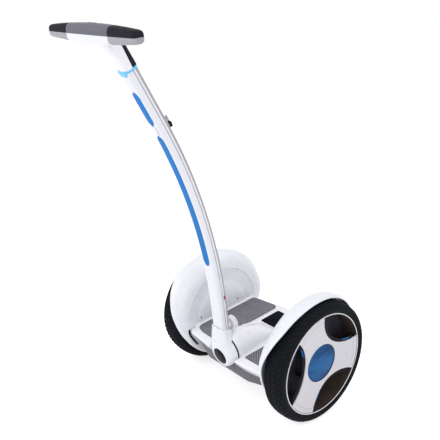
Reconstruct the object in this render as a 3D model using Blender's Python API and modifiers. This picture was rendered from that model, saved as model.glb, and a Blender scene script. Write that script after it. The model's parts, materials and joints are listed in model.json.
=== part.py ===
# Self-balancing personal transporter: two wheels, a foot deck between them and a leaning steering pole.
# Metres, +Z up, front of the vehicle toward -Y, the rider's left toward +X, tyres and stand on z = 0.
import math

import bmesh
import bpy
from mathutils import Matrix, Vector

for item in list(bpy.data.objects):
    bpy.data.objects.remove(item, do_unlink=True)

MM = 0.001
GAP = 0.0003  # between pieces that touch
RUN = 0.0010  # between pieces that move on each other

# Wheels
TYRE_RADIUS = 0.200
TYRE_HALF = 0.0386
TYRE_WALL = 0.0095
WHEEL_STEPS = 32
WHEEL_X = 0.2532  # centre plane of each tyre from the middle of the vehicle
BED_RADIUS = 0.165
BED_WALL = 0.0018
BED_HALF = 0.0313
LIP_RADIUS = BED_RADIUS + 0.0025
LIP_FACE = 0.0358  # from here on, faces of the wheel are distances from the tyre's centre plane
COVER_RIM = 0.0342
COVER_HUB = 0.0260
COVER_WALL = 0.0030
CREASE_RADIUS = BED_RADIUS - 0.018
CREASE_STEP = 0.0010
ACCENT_WALL = 0.0012
CAP_RADIUS = 0.0625
CAP_EDGE = 0.0180
CAP_CROWN = 0.0045
DRUM_RADIUS = 0.068
DRUM_WALL = 0.006
DRUM_FACE = 0.0150
WEB_RADIUS = 0.135
WEB_OUT = -0.016
WEB_WALL = 0.004
SHAFT_RADIUS = 0.012
STATOR_RADIUS = 0.056
OPENING_ARC = 0.130  # radius of the arc on the hub side of each opening in the cover
OPENING_OFFSET = 0.207
OPENING_ANGLES = (35.5, 155.5, 275.5)
ACCENT_TURN = 1.3  # degrees that the blue plate is turned against the cover

# Stance
AXLE_HEIGHT = TYRE_RADIUS * math.cos(math.pi / WHEEL_STEPS)
PITCH = math.radians(5.5)

# Fenders
FENDER_IN = 0.188
FENDER_RECESS = 0.002
FENDER_HUB = 0.108
FENDER_RECESS_RADIUS = 0.156
FENDER_BACK = 0.194
FENDER_RADIUS = 0.213
FENDER_DISC = 0.168  # radius low down, where the fender is only a disc beside the wheel
FENDER_SHOULDER = 0.035
FENDER_SPREAD = 0.055
FENDER_WALL = 0.0035
FENDER_LIP_LOW = 0.205
FENDER_LIP_RISE = 0.063
FENDER_STEPS = 32

# Deck and lower shell, in the pitched chassis frame with its origin on the wheel axis
DECK_TOP = -0.010
DECK_SEAM = -0.045
SHELL_BOTTOM = -0.085
DECK_WALL = 0.004
SHELL_WALL = 0.003
MAT_RISE = 0.001
MAT_SINK = 0.0018
SIDE_X = FENDER_IN - GAP

# Lean joint between the deck and the nose
HINGE_Y = -0.1462
HINGE_Z = 0.005
HUB_TILT = math.radians(8.5)
NOSE_RADIUS = 0.061
NOSE_GAP = 0.003
PIN_RADIUS = 0.011

# Pole
POLE_FOOT = (-0.1629, 0.0782)
POLE_LEAN = math.radians(2.62)
POLE_BEND = math.radians(22.69)
POLE_LOW = 0.099
POLE_ARC_RADIUS = 1.627
POLE_HIGH = 0.1665
POLE_STATIONS = 8
POLE_HALF = 0.025
POLE_DEPTH = 0.031
CORE_HALF = 0.017
CORE_DEPTH = 0.017
CORE_WALL = 0.0015

# Handlebar
BAR_Y = -0.4784
BAR_Z = 1.0409
BAR_HALF = 0.209
BAR_DEPTH = 0.0262  # from the bar's axis to its front, at the middle
BAR_CENTRE = 0.074
BAR_TUBE = 0.011
BAR_WALL = 0.0018
GRIP_END = BAR_HALF - 0.0045

pole_arc_length = POLE_ARC_RADIUS * POLE_BEND
pole_length = POLE_LOW + pole_arc_length + POLE_HIGH


def world_y(y, z):
    """Distance behind the wheel axis of a point of the chassis frame."""
    return y * math.cos(PITCH) - z * math.sin(PITCH)


def world_z(y, z):
    """Height above the ground of a point of the chassis frame."""
    return AXLE_HEIGHT + y * math.sin(PITCH) + z * math.cos(PITCH)


def eased(value, start, end):
    """1 before the start, 0 past the end, and a smooth fall between them."""
    share = min(1.0, max(0.0, (value - start) / (end - start)))
    return 0.5 + 0.5 * math.cos(math.pi * share)


def fender_radius(angle):
    """Outer radius of a fender at an angle from its top."""
    down = math.degrees(min(angle, 2 * math.pi - angle))
    return FENDER_DISC + (FENDER_RADIUS - FENDER_DISC) * eased(down, 68.0, 130.0)


def fender_lip(angle):
    """Distance of a fender's edge from the middle of the vehicle: over the tyre at the top only."""
    down = math.degrees(min(angle, 2 * math.pi - angle))
    share = min(1.0, max(0.0, (down - 38.0) / 44.5))
    return FENDER_LIP_LOW + FENDER_LIP_RISE * (1.0 - share ** 2)


# The box of the whole object is centred on y = 0: the bar reaches farthest forward, a fender back.
fender_angles = [2 * math.pi * i / FENDER_STEPS for i in range(FENDER_STEPS)]
front_reach = -world_y(BAR_Y - BAR_DEPTH, BAR_Z)
rear_reach = max(fender_radius(a) * math.sin(a - PITCH) for a in fender_angles)
AXLE_Y = (front_reach - rear_reach) / 2

parts = bpy.data.collections.new("personal_transporter")
cutters = bpy.data.collections.new("cutters")
for group in (parts, cutters):
    bpy.context.scene.collection.children.link(group)
cutters.hide_render = True

LOOKS = {
    "white_gloss": ((0.86, 0.86, 0.89), 0.0, 0.25),
    "shell_grey": ((0.36, 0.36, 0.39), 0.0, 0.45),
    "foot_mat": ((0.16, 0.15, 0.18), 0.0, 0.85),
    "panel_black": ((0.02, 0.02, 0.03), 0.0, 0.15),
    "tyre_rubber": ((0.02, 0.02, 0.022), 0.0, 0.8),
    "rim_dark": ((0.05, 0.045, 0.05), 0.6, 0.4),
    "cover_pearl": ((0.78, 0.76, 0.79), 0.1, 0.3),
    "accent_blue": ((0.03, 0.22, 0.62), 0.1, 0.3),
    "grip_black": ((0.04, 0.045, 0.06), 0.0, 0.55),
    "bar_grey": ((0.26, 0.25, 0.29), 0.0, 0.5),
    "pad_grey": ((0.55, 0.53, 0.56), 0.0, 0.5),
    "alloy": ((0.6, 0.6, 0.62), 1.0, 0.35),
    "steel": ((0.45, 0.45, 0.47), 1.0, 0.3),
    "signal_red": ((0.6, 0.02, 0.02), 0.0, 0.3),
    "pack_case": ((0.08, 0.09, 0.1), 0.0, 0.6),
}


def material(node, look):
    color, metallic, roughness = LOOKS[look]
    made = bpy.data.materials.new(node + "_" + look)
    made.use_nodes = True
    shader = made.node_tree.nodes["Principled BSDF"]
    shader.inputs["Base Color"].default_value = (*color, 1.0)
    shader.inputs["Metallic"].default_value = metallic
    shader.inputs["Roughness"].default_value = roughness
    made.diffuse_color = (*color, 1.0)
    return made


PIVOTS = {}


def pivot(name, parent, location, turn=(0.0, 0.0, 0.0)):
    """An empty on a joint axis. Pieces hung on it are drawn in its parent's frame."""
    empty = bpy.data.objects.new(name, None)
    empty.empty_display_size = 0.04
    parts.objects.link(empty)
    empty.parent = parent
    empty.location = location
    empty.rotation_euler = turn
    rotation = Matrix.Rotation(
        turn[2], 4, "Z",
    ) @ Matrix.Rotation(turn[1], 4, "Y") @ Matrix.Rotation(turn[0], 4, "X")
    PIVOTS[name] = Matrix.Translation(location) @ rotation
    return empty


vehicle = pivot("vehicle", None, (0.0, AXLE_Y, AXLE_HEIGHT))
chassis = pivot("chassis", vehicle, (0.0, 0.0, 0.0), (PITCH, 0.0, 0.0))
lean_axis = pivot("lean_axis", chassis, (0.0, HINGE_Y, HINGE_Z), (HUB_TILT, 0.0, 0.0))
HINGE = PIVOTS["lean_axis"]


def pivot_at(name, parent, placing):
    """An empty on a joint axis whose place is given in the chassis frame."""
    empty = bpy.data.objects.new(name, None)
    empty.empty_display_size = 0.02
    parts.objects.link(empty)
    empty.parent = parent
    inside = PIVOTS[parent.name] if parent.name != "chassis" else Matrix.Identity(4)
    empty.matrix_basis = inside.inverted() @ placing
    PIVOTS[name] = placing
    return empty


def own(obj, parent, look, placing=None, hang=False):
    """Puts a piece into the parts collection, under its parent, with its own material."""
    parts.objects.link(obj)
    obj.parent = parent
    if placing is not None:
        obj.matrix_basis = placing
    if hang:
        obj.matrix_parent_inverse = PIVOTS[parent.name].inverted()
    obj.data.materials.clear()
    obj.data.materials.append(material(obj.name, look))
    return obj


def tool(obj, parent=None, placing=None):
    """Puts a cutter into the cutters collection."""
    cutters.objects.link(obj)
    obj.parent = parent
    if placing is not None:
        obj.matrix_basis = placing
    obj.hide_render = True
    obj.display_type = "WIRE"
    return obj


def boolean(target, other, operation="DIFFERENCE"):
    step = target.modifiers.new(operation.lower() + "_" + other.name, "BOOLEAN")
    step.operation = operation
    step.solver = "EXACT"
    step.object = other


def closed(name, shape):
    """Object from a bmesh, with its faces turned outward."""
    bmesh.ops.remove_doubles(shape, verts=shape.verts, dist=1e-7)
    bmesh.ops.recalc_face_normals(shape, faces=shape.faces)
    data = bpy.data.meshes.new(name)
    shape.to_mesh(data)
    shape.free()
    return bpy.data.objects.new(name, data)


def turned(name, profile, steps=WHEEL_STEPS, loop=True):
    """Profile of (radius, height) points turned about local Z with the Screw tool, flat side down."""
    start = math.pi / steps
    ends = profile + [profile[0]]
    area = sum(a[0] * b[1] - b[0] * a[1] for a, b in zip(ends, ends[1:]))
    if area > 0:
        profile = profile[::-1]
    points = [(r * math.cos(start), r * math.sin(start), h) for r, h in profile]
    edges = [(i, i + 1) for i in range(len(points) - 1)]
    if loop:
        edges.append((len(points) - 1, 0))
    data = bpy.data.meshes.new(name)
    data.from_pydata(points, edges, [])
    obj = bpy.data.objects.new(name, data)
    turn = obj.modifiers.new("turn", "SCREW")
    turn.axis = "Z"
    turn.steps = steps
    turn.render_steps = steps
    turn.use_merge_vertices = True
    turn.merge_threshold = 1e-5
    return obj


def along(axis, at=(0.0, 0.0, 0.0)):
    """Matrix that puts local Z along the axis, with local X down for an axis along X."""
    turns = {
        "X": Matrix.Rotation(math.pi / 2, 4, "Y"),
        "-X": Matrix.Rotation(-math.pi / 2, 4, "Y"),
        "Y": Matrix.Rotation(-math.pi / 2, 4, "X"),
        "Z": Matrix.Identity(4),
    }
    return Matrix.Translation(at) @ turns[axis]


def loft(name, rings, caps=True):
    """Closed skin over rings of points that don't share one shape."""
    shape = bmesh.new()
    rows = [[shape.verts.new(p) for p in ring] for ring in rings]
    count = len(rows[0])
    for low, high in zip(rows, rows[1:]):
        for i in range(count):
            j = (i + 1) % count
            shape.faces.new((low[i], low[j], high[j], high[i]))
    if caps:
        shape.faces.new(rows[0][::-1])
        shape.faces.new(rows[-1])
    return closed(name, shape)


def baked(name, curve):
    """Mesh object from a curve, so that Booleans can work on it."""
    holder = bpy.data.objects.new(name + "_curve", curve)
    bpy.context.scene.collection.objects.link(holder)
    bpy.context.view_layer.update()
    graph = bpy.context.evaluated_depsgraph_get()
    data = bpy.data.meshes.new_from_object(holder.evaluated_get(graph))
    bpy.data.objects.remove(holder, do_unlink=True)
    shape = bmesh.new()
    shape.from_mesh(data)
    bmesh.ops.remove_doubles(shape, verts=shape.verts, dist=1e-6)
    return closed(name, shape)


def outline_curve(name, points, cyclic=True):
    curve = bpy.data.curves.new(name, "CURVE")
    curve.dimensions = "2D"
    spline = curve.splines.new("POLY")
    spline.points.add(len(points) - 1)
    for knot, (x, y) in zip(spline.points, points):
        knot.co = (x, y, 0.0, 1.0)
    spline.use_cyclic_u = cyclic
    return curve


def plate(name, outline, low, high, edge=0.0):
    """Flat piece over an outline in local XY, between two heights, with its edges chamfered."""
    curve = outline_curve(name, outline)
    curve.fill_mode = "BOTH"
    curve.extrude = (high - low) / 2 - edge
    curve.bevel_depth = edge
    curve.bevel_resolution = 0
    curve.offset = -edge
    obj = baked(name, curve)
    obj.data.transform(Matrix.Translation((0.0, 0.0, (low + high) / 2)))
    return obj


def swept(name, section, path):
    """Section of (x, depth) carried along a path of (y, z) points in the plane x = 0."""
    outline = bpy.data.objects.new(name + "_section", outline_curve(name + "_section", [(
        d, -x,
    ) for x, d in section]))
    bpy.context.scene.collection.objects.link(outline)
    curve = outline_curve(name, path, cyclic=False)
    curve.bevel_mode = "OBJECT"
    curve.bevel_object = outline
    curve.use_fill_caps = True
    obj = baked(name, curve)
    bpy.data.objects.remove(outline, do_unlink=True)
    upright = Matrix(((0, 0, -1, 0), (1, 0, 0, 0), (0, 1, 0, 0), (0, 0, 0, 1)))
    obj.data.transform(upright)
    shape = bmesh.new()
    shape.from_mesh(obj.data)
    bmesh.ops.recalc_face_normals(shape, faces=shape.faces)
    shape.to_mesh(obj.data)
    shape.free()
    return obj


def box(name, low, high, edge=0.0):
    (x0, y0, z0), (x1, y1, z1) = low, high
    return plate(name, [(x0, y0), (x1, y0), (x1, y1), (x0, y1)], z0, z1, edge)


def mirrored(half):
    """Closed outline from its half at x >= 0, listed from the front middle to the rear middle."""
    other = [(-x, y) for x, y in reversed(half) if x > 0]
    return half + other


def arc(centre, radius, start, end, count):
    """Points on an arc, angles in degrees from +X toward +Y."""
    out = []
    for i in range(count + 1):
        a = math.radians(start + (end - start) * i / count)
        out.append((centre[0] + radius * math.cos(a), centre[1] + radius * math.sin(a)))
    return out


# Wheels
bed_in = BED_RADIUS - BED_WALL
cap_hole = CAP_RADIUS + 2 * GAP
collar_radius = cap_hole + COVER_WALL
hub_back = COVER_HUB - COVER_WALL
crease_face = COVER_RIM - CREASE_STEP
WHEEL_SPIN = {"left": 0.0, "right": math.pi}


def opening(name, turn):
    """Cutter for one opening of the wheel cover, in wheel coordinates (local Z outward)."""
    rim = BED_RADIUS + 0.001
    cross = (rim ** 2 - OPENING_ARC ** 2 + OPENING_OFFSET ** 2) / (2 * OPENING_OFFSET)
    half = math.degrees(math.acos(cross / rim))
    near = math.degrees(math.asin(math.sqrt(rim ** 2 - cross ** 2) / OPENING_ARC))
    outer = arc((0.0, 0.0), rim, -half, half, 8)
    inner = arc((OPENING_OFFSET, 0.0), OPENING_ARC, 180 - near, 180 + near, 12)
    spin = Matrix.Rotation(math.radians(turn), 2)
    lens = [tuple(spin @ Vector(p)) for p in outer + inner[1:-1]]
    return plate(name, lens, 0.0, 0.05)


def tyre_profile():
    """Half of the tyre's section, mirrored: seat on the bed, sidewall, crowned tread, hollow inside."""
    seat = BED_RADIUS + GAP
    outside = [
        (seat, BED_HALF - GAP), (LIP_RADIUS + GAP, BED_HALF - GAP), (LIP_RADIUS + 0.0020, LIP_FACE - 0.0005),
        (0.1810, TYRE_HALF), (0.1940, 0.0310), (TYRE_RADIUS, 0.0095),
    ]
    inside = [(TYRE_RADIUS - TYRE_WALL, 0.0240), (seat, 0.0245)]
    mirror_out = [(r, -h) for r, h in reversed(outside)]
    mirror_in = [(r, -h) for r, h in reversed(inside)]
    return outside + mirror_out + mirror_in + inside


def rim_profile():
    """Section of the rim: bed with two flanges, cone, web and the drum round the motor."""
    bore = SHAFT_RADIUS + 0.0006
    web_in = WEB_OUT - WEB_WALL
    cone = bed_in - WEB_RADIUS
    inner_flange = BED_HALF + 0.0027
    return [
        (bore, web_in), (WEB_RADIUS, web_in), (bed_in, WEB_OUT + cone - 2 * WEB_WALL),
        (bed_in, -inner_flange), (LIP_RADIUS - 0.002, -inner_flange), (LIP_RADIUS - 0.002, -BED_HALF),
        (BED_RADIUS, -BED_HALF), (BED_RADIUS, BED_HALF), (LIP_RADIUS, BED_HALF), (LIP_RADIUS, LIP_FACE),
        (bed_in, LIP_FACE), (bed_in, WEB_OUT + cone), (WEB_RADIUS, WEB_OUT), (DRUM_RADIUS, WEB_OUT),
        (DRUM_RADIUS, DRUM_FACE), (DRUM_RADIUS - DRUM_WALL, DRUM_FACE), (DRUM_RADIUS - DRUM_WALL, WEB_OUT),
        (bore, WEB_OUT),
    ]


def cover_profile():
    """Section of the dished cover, with a creased rim and a collar that stands on the drum."""
    edge = bed_in - GAP
    seat = DRUM_FACE + GAP
    return [
        (edge, COVER_RIM - COVER_WALL), (edge, COVER_RIM), (CREASE_RADIUS + 0.002, COVER_RIM),
        (CREASE_RADIUS, crease_face), (cap_hole, COVER_HUB), (cap_hole, seat), (collar_radius, seat),
        (collar_radius, hub_back), (CREASE_RADIUS, crease_face - COVER_WALL),
    ]


def wheel(side, axis):
    out = along("X")
    own(turned("tyre_" + side, tyre_profile()), axis, "tyre_rubber", out)
    own(turned("rim_" + side, rim_profile()), axis, "rim_dark", out)
    disc = own(turned("wheel_cover_" + side, cover_profile()), axis, "cover_pearl", out)
    inner = collar_radius + GAP
    accent = [
        (CREASE_RADIUS, crease_face - COVER_WALL - GAP), (inner, hub_back - GAP),
        (inner, hub_back - GAP - ACCENT_WALL), (
            CREASE_RADIUS, crease_face - COVER_WALL - GAP - ACCENT_WALL,
        ),
    ]
    blue = own(turned("accent_plate_" + side, accent), axis, "accent_blue", out)
    for number, angle in enumerate(OPENING_ANGLES):
        # Local X of the turned frame points down, so an angle from the top toward the back is turned here.
        turn = 180.0 - angle
        boolean(disc, tool(opening("opening_%s_%d" % (side, number), turn), axis, out))
        behind = opening("accent_opening_%s_%d" % (side, number), turn + ACCENT_TURN)
        boolean(blue, tool(behind, axis, out))
    crown = CAP_EDGE + CAP_CROWN
    cap = [
        (0.0, crown), (0.030, crown - 0.0006), (0.050, crown - 0.0022), (CAP_RADIUS, CAP_EDGE),
        (CAP_RADIUS, DRUM_FACE + GAP), (0.0, DRUM_FACE + GAP),
    ]
    own(turned("hub_cap_" + side, cap, 24, loop=False), axis, "accent_blue", out)


def hub_motor(side, axis):
    """Fixed part of the motor: flange on the fender, shaft through the web, stator in the drum."""
    flange = FENDER_BACK + GAP - WHEEL_X
    stator = [
        (0.0, flange), (0.040, flange), (0.040, flange + 0.006), (SHAFT_RADIUS, flange + 0.006),
        (SHAFT_RADIUS, WEB_OUT + RUN), (STATOR_RADIUS, WEB_OUT + RUN), (STATOR_RADIUS, DRUM_FACE - RUN),
        (0.0, DRUM_FACE - RUN),
    ]
    turn = Matrix.Rotation(WHEEL_SPIN[side], 4, "Z")
    place = Matrix.Translation(axis.location) @ turn @ along("X")
    own(turned("hub_motor_" + side, stator, 16, loop=False), chassis, "steel", place)


for side, direction in (("left", 1), ("right", -1)):
    place = (direction * WHEEL_X, 0.0, 0.0)
    axis = pivot("wheel_axis_" + side, vehicle, place, (0.0, 0.0, WHEEL_SPIN[side]))
    wheel(side, axis)
    hub_motor(side, axis)


# Fenders
def fender_rings():
    """Sections of a fender round the axle, from the inner face over the shoulder to the edge and back."""
    rings = []
    for angle in fender_angles:
        radius = fender_radius(angle)
        lip = fender_lip(angle)
        shoulder = min(FENDER_SHOULDER, radius - FENDER_RECESS_RADIUS - 0.004)
        base = radius - shoulder
        spread = min(FENDER_SPREAD, lip - FENDER_IN - 0.001)
        inner_spread = min(FENDER_SPREAD - FENDER_WALL, lip - FENDER_BACK - 0.001)
        recess = FENDER_IN + FENDER_RECESS
        line = [(FENDER_HUB, FENDER_IN), (FENDER_HUB + 0.002, recess), (FENDER_RECESS_RADIUS, recess)]
        line.append((FENDER_RECESS_RADIUS + 0.002, FENDER_IN))
        for turn in (0, 30, 60, 90):
            t = math.radians(turn)
            line.append((base + shoulder * math.sin(t), FENDER_IN + spread * (1 - math.cos(t))))
        line.append((radius, lip))
        line.append((radius - FENDER_WALL, lip))
        for turn in (75, 45, 15):
            t = math.radians(turn)
            depth = base + (shoulder - FENDER_WALL) * math.sin(t)
            line.append((depth, FENDER_BACK + inner_spread * (1 - math.cos(t))))
        line.append((FENDER_HUB, FENDER_BACK))
        rings.append([Vector((x, r * math.sin(angle), r * math.cos(angle))) for r, x in line])
    return rings


for side, direction in (("left", 1), ("right", -1)):
    rings = fender_rings()
    shape = bmesh.new()
    rows = [[shape.verts.new((direction * p.x, p.y, p.z)) for p in ring] for ring in rings]
    front = shape.verts.new((direction * FENDER_IN, 0.0, 0.0))
    back = shape.verts.new((direction * FENDER_BACK, 0.0, 0.0))
    for row, following in zip(rows, rows[1:] + rows[:1]):
        for a, b, c, d in zip(row, row[1:], following[1:], following):
            shape.faces.new((a, b, c, d))
        shape.faces.new((front, row[0], following[0]))
        shape.faces.new((back, following[-1], row[-1]))
    own(closed("fender_" + side, shape), chassis, "white_gloss")

# Deck cover: a shell whose front slopes back under the deck
DECK_TOP_HALF = [
    (0.0, -0.172), (0.050, -0.172), (0.102, -0.168), (0.160, -0.1625), (0.173, -0.160), (0.184, -0.151),
    (SIDE_X, -0.140), (SIDE_X, 0.150), (0.150, 0.1575), (0.101, 0.165), (0.068, 0.174), (0.0, 0.174),
]
DECK_LOW_HALF = [
    (0.0, -0.150), (0.050, -0.150), (0.101, -0.150), (0.143, -0.144), (0.157, -0.140), (0.170, -0.130),
    (0.175, -0.120), (0.175, 0.132), (0.150, 0.142), (0.101, 0.148), (0.068, 0.154), (0.0, 0.154),
]
SHELL_LOW_HALF = [
    (0.0, -0.148), (0.050, -0.148), (0.095, -0.148), (0.118, -0.140), (0.139, -0.133), (0.150, -0.122),
    (0.153, -0.110), (0.153, 0.112), (0.139, 0.126), (0.095, 0.140), (0.068, 0.142), (0.0, 0.142),
]


def level(half, z, inset=0.0):
    """Ring of an outline at one height, moved inward by an inset."""
    ring = mirrored(half)
    out = []
    for x, y in ring:
        out.append((x - math.copysign(min(abs(x), inset), x), y - math.copysign(inset, y), z))
    return out


def hump_ring(y, half, crest, drop, count=10):
    """Half-round section over the deck, closed below the deck's top face."""
    base = DECK_TOP
    ring = []
    for i in range(count + 1):
        a = math.pi * i / count
        ring.append((half * math.cos(a), y, base + (crest - base) * math.sin(a)))
    ring.append((-half, y, base - drop))
    ring.append((half, y, base - drop))
    return ring


SEAM_FACE = NOSE_GAP
hump_line = [(-0.110, 0.062, 0.054), (-0.070, 0.058, 0.040), (-0.030, 0.053, 0.024), (0.010, 0.047, 0.008)]
hump_line.append((0.046, 0.040, -0.0085))


def hump(name, inset, first):
    """Fairing behind the nose, from the round seam down to the deck."""
    radius = NOSE_RADIUS - inset
    start = []
    count = 10
    low = HINGE_Z - DECK_TOP
    begin = -math.asin(low / radius)
    for i in range(count + 1):
        a = begin + (math.pi - 2 * begin) * i / count
        start.append(HINGE @ Vector((radius * math.cos(a), first, radius * math.sin(a))))
    down = HINGE.to_3x3() @ Vector((0.0, 0.0, -0.002))
    start.append(start[count] + down)
    start.append(start[0] + down)
    rings = [start]
    for y, half, crest in hump_line:
        top = crest - inset
        if top > DECK_TOP:
            rings.append(hump_ring(y - inset, half - inset, top, 0.002, count))
    return loft(name, rings)


deck = loft("deck_cover", [level(DECK_LOW_HALF, DECK_SEAM), level(
    DECK_TOP_HALF, DECK_TOP - 0.004,
), level(DECK_TOP_HALF, DECK_TOP, 0.0025)])
own(deck, chassis, "white_gloss")
boolean(deck, tool(hump("hump_outer", 0.0, SEAM_FACE + 0.0002), chassis), "UNION")
notch_wall = turned("notch_wall", [
    (0.0, -0.060), (0.067, -0.060), (0.067, SEAM_FACE + 0.004), (0.0, SEAM_FACE + 0.004),
], 32, False)
tool(notch_wall, chassis, HINGE @ along("Y"))
cavity = loft("deck_cavity", [
    level(DECK_LOW_HALF, DECK_SEAM - 0.010, 0.0045), level(DECK_LOW_HALF, DECK_SEAM, 0.0045),
    level(DECK_TOP_HALF, DECK_TOP - DECK_WALL, 0.007),
])
tool(cavity, chassis)
boolean(cavity, notch_wall)
boolean(deck, cavity)
hump_hollow = tool(hump("hump_hollow", 0.0035, SEAM_FACE + 0.004), chassis)
hump_hollow.data.transform(Matrix.Translation((0.0, 0.0, -0.0035)))
boolean(deck, hump_hollow)
notch = turned("notch", [
    (0.0, -0.070), (NOSE_RADIUS + NOSE_GAP, -0.070), (NOSE_RADIUS + NOSE_GAP, SEAM_FACE), (0.0, SEAM_FACE),
], 32, False)
tool(notch, chassis, HINGE @ along("Y"))
boolean(deck, notch)
pin_hole = turned("pin_hole", [
    (0.0, -0.010), (PIN_RADIUS + 0.002, -0.010), (PIN_RADIUS + 0.002, 0.020), (0.0, 0.020),
], 16, False)
tool(pin_hole, chassis, HINGE @ along("Y"))
boolean(deck, pin_hole)

# Lower shell: an open tub under the deck cover
shell = loft("lower_shell", [level(SHELL_LOW_HALF, SHELL_BOTTOM), level(DECK_LOW_HALF, DECK_SEAM - GAP)])
own(shell, chassis, "shell_grey")
tub = loft("tub", [level(
    SHELL_LOW_HALF, SHELL_BOTTOM + SHELL_WALL, SHELL_WALL,
), level(DECK_LOW_HALF, DECK_SEAM + 0.004, SHELL_WALL)])
tool(tub, chassis)
boolean(tub, notch_wall)
boolean(shell, tub)
boolean(shell, notch)

# Foot mats, sunk into the deck
MAT_HALF = [
    (0.0655, 0.140), (0.0655, 0.022), (0.070, 0.006), (0.075, -0.006), (0.073, -0.080), (0.0715, -0.128),
    (0.076, -0.1365), (0.140, -0.1345), (0.172, -0.125), (0.1815, -0.108), (0.1815, 0.143), (0.174, 0.149),
    (0.134, 0.1545), (0.090, 0.160), (0.076, 0.158), (0.069, 0.151),
]


def grown(outline, amount):
    """Outline moved outward along its corner normals. The outline runs clockwise or the other way."""
    count = len(outline)
    area = sum(a[0] * b[1] - b[0] * a[1] for a, b in zip(outline, outline[1:] + outline[:1]))
    sign = 1 if area > 0 else -1
    out = []
    for i in range(count):
        before = Vector(outline[i]) - Vector(outline[i - 1])
        after = Vector(outline[(i + 1) % count]) - Vector(outline[i])
        normal_a = Vector((before.y, -before.x)).normalized()
        normal_b = Vector((after.y, -after.x)).normalized()
        bisector = (normal_a + normal_b).normalized()
        length = amount / max(0.4, bisector.dot(normal_a))
        out.append(tuple(Vector(outline[i]) + bisector * length * sign))
    return out


for side, direction in (("left", 1), ("right", -1)):
    shape = [(direction * x, y) for x, y in MAT_HALF]
    mat = plate("foot_mat_" + side, shape, DECK_TOP - MAT_SINK + GAP, DECK_TOP + MAT_RISE, 0.0006)
    own(mat, chassis, "foot_mat")
    boolean(deck, tool(
        plate("mat_recess_" + side, grown(shape, GAP), DECK_TOP - MAT_SINK, DECK_TOP + 0.004), chassis,
    ))

PATCH = [(-0.044, 0.141), (
    -0.047, 0.136,
), (-0.047, 0.056), (-0.040, 0.052), (0.040, 0.052), (0.047, 0.056), (0.047, 0.136), (0.044, 0.141)]
own(plate(
    "status_panel", PATCH, DECK_TOP - MAT_SINK + GAP, DECK_TOP + 0.0004, 0.0004,
), chassis, "panel_black")
boolean(
    deck, tool(plate("panel_recess", grown(PATCH, GAP), DECK_TOP - MAT_SINK, DECK_TOP + 0.004), chassis),
)

# Inside the shell
floor = SHELL_BOTTOM + SHELL_WALL + GAP
own(box("battery_pack", (-0.143, -0.004, floor), (0.143, 0.116, -0.026), 0.006), chassis, "pack_case")
own(box("control_board", (-0.080, -0.078, floor), (0.080, -0.014, -0.064), 0.002), chassis, "alloy")

# Lean joint: bearing in the deck, pin on the nose
bearing = [(
    PIN_RADIUS + 0.0005, SEAM_FACE + 0.004 + GAP,
), (0.026, SEAM_FACE + 0.004 + GAP), (0.026, 0.040), (PIN_RADIUS + 0.0005, 0.040)]
own(turned("lean_bearing", bearing, 16), chassis, "alloy", HINGE @ along("Y"))
pin = [
    (0.0, -0.018), (PIN_RADIUS, -0.018), (PIN_RADIUS, 0.041), (0.018, 0.041), (0.018, 0.046), (0.0, 0.046),
]
own(turned("lean_pin", pin, 16, False), lean_axis, "steel", along("Y"))


# Pole path
def pole_point(s):
    """(y, z, lean) of the centre line at a length from its foot."""
    lean = POLE_LEAN
    y, z = POLE_FOOT
    low = min(s, POLE_LOW)
    y -= math.sin(lean) * low
    z += math.cos(lean) * low
    s -= low
    if s <= 0:
        return y, z, lean
    turn = min(s, pole_arc_length) / POLE_ARC_RADIUS
    y -= POLE_ARC_RADIUS * (math.cos(lean) - math.cos(lean + turn))
    z += POLE_ARC_RADIUS * (math.sin(lean + turn) - math.sin(lean))
    lean += turn
    s -= pole_arc_length
    if s > 0:
        y -= math.sin(lean) * s
        z += math.cos(lean) * s
    return y, z, lean


ALL_STATIONS = [POLE_LOW + pole_arc_length * i / POLE_STATIONS for i in range(POLE_STATIONS + 1)]


def stations(start, end, extra=()):
    middle = [s for s in ALL_STATIONS if start + 0.004 < s < end - 0.004]
    return sorted(set([start, *middle, *extra, end]))


def pole_path(start, end):
    return [pole_point(s)[:2] for s in stations(start, end)]


def at_pole(s, x, depth):
    """Point at a length along the pole, sideways x and a depth behind its front face."""
    y, z, lean = pole_point(s)
    back = depth - POLE_DEPTH / 2
    return Vector((x, y + back * math.cos(lean), z + back * math.sin(lean)))


def pole_piece(name, section, start, end):
    """Section of (x, depth behind the front face) along the pole."""
    return swept(name, [(x, d - POLE_DEPTH / 2) for x, d in section], pole_path(start, end))


def both_sides(half):
    """Closed section from its half at x >= 0."""
    return half + [(-x, d) for x, d in reversed(half) if x > 0]


POLE_START = -0.006
H = POLE_HALF
CH = CORE_HALF + GAP
core_front = (POLE_DEPTH - CORE_DEPTH) / 2
core_back = core_front + CORE_DEPTH
front_section = both_sides([
    (0.010, 0.0), (0.019, 0.0009), (0.0238, 0.0036), (H, 0.0075), (H, 0.0145), (CH, 0.0145), (
        CH, core_front - GAP,
    ),
])
front_shell = own(pole_piece(
    "pole_front_shell", front_section, POLE_START, pole_length,
), lean_axis, "white_gloss", None, True)
band_section = both_sides([
    (
        CH, core_back + GAP,
    ), (CH, 0.0152), (H - 0.0004, 0.0152), (H - 0.0004, 0.0192), (0.0222, 0.0192), (0.0222, 0.0258),
])
own(pole_piece(
    "pole_rear_shell", band_section, POLE_START, pole_length,
), lean_axis, "white_gloss", None, True)
rail_section = both_sides([
    (
        0.0222 + GAP, 0.0258 + GAP,
    ), (0.0222 + GAP, 0.0198), (H - 0.0008, 0.0198), (H - 0.0008, 0.0280), (0.0195, POLE_DEPTH),
])
rail = own(
    pole_piece("pole_rail", rail_section, POLE_START, pole_length), lean_axis, "bar_grey", None, True,
)
CORE_LOW = -0.046
core_section = [
    (-CORE_HALF, core_front), (CORE_HALF, core_front), (CORE_HALF, core_back), (-CORE_HALF, core_back),
]
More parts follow.
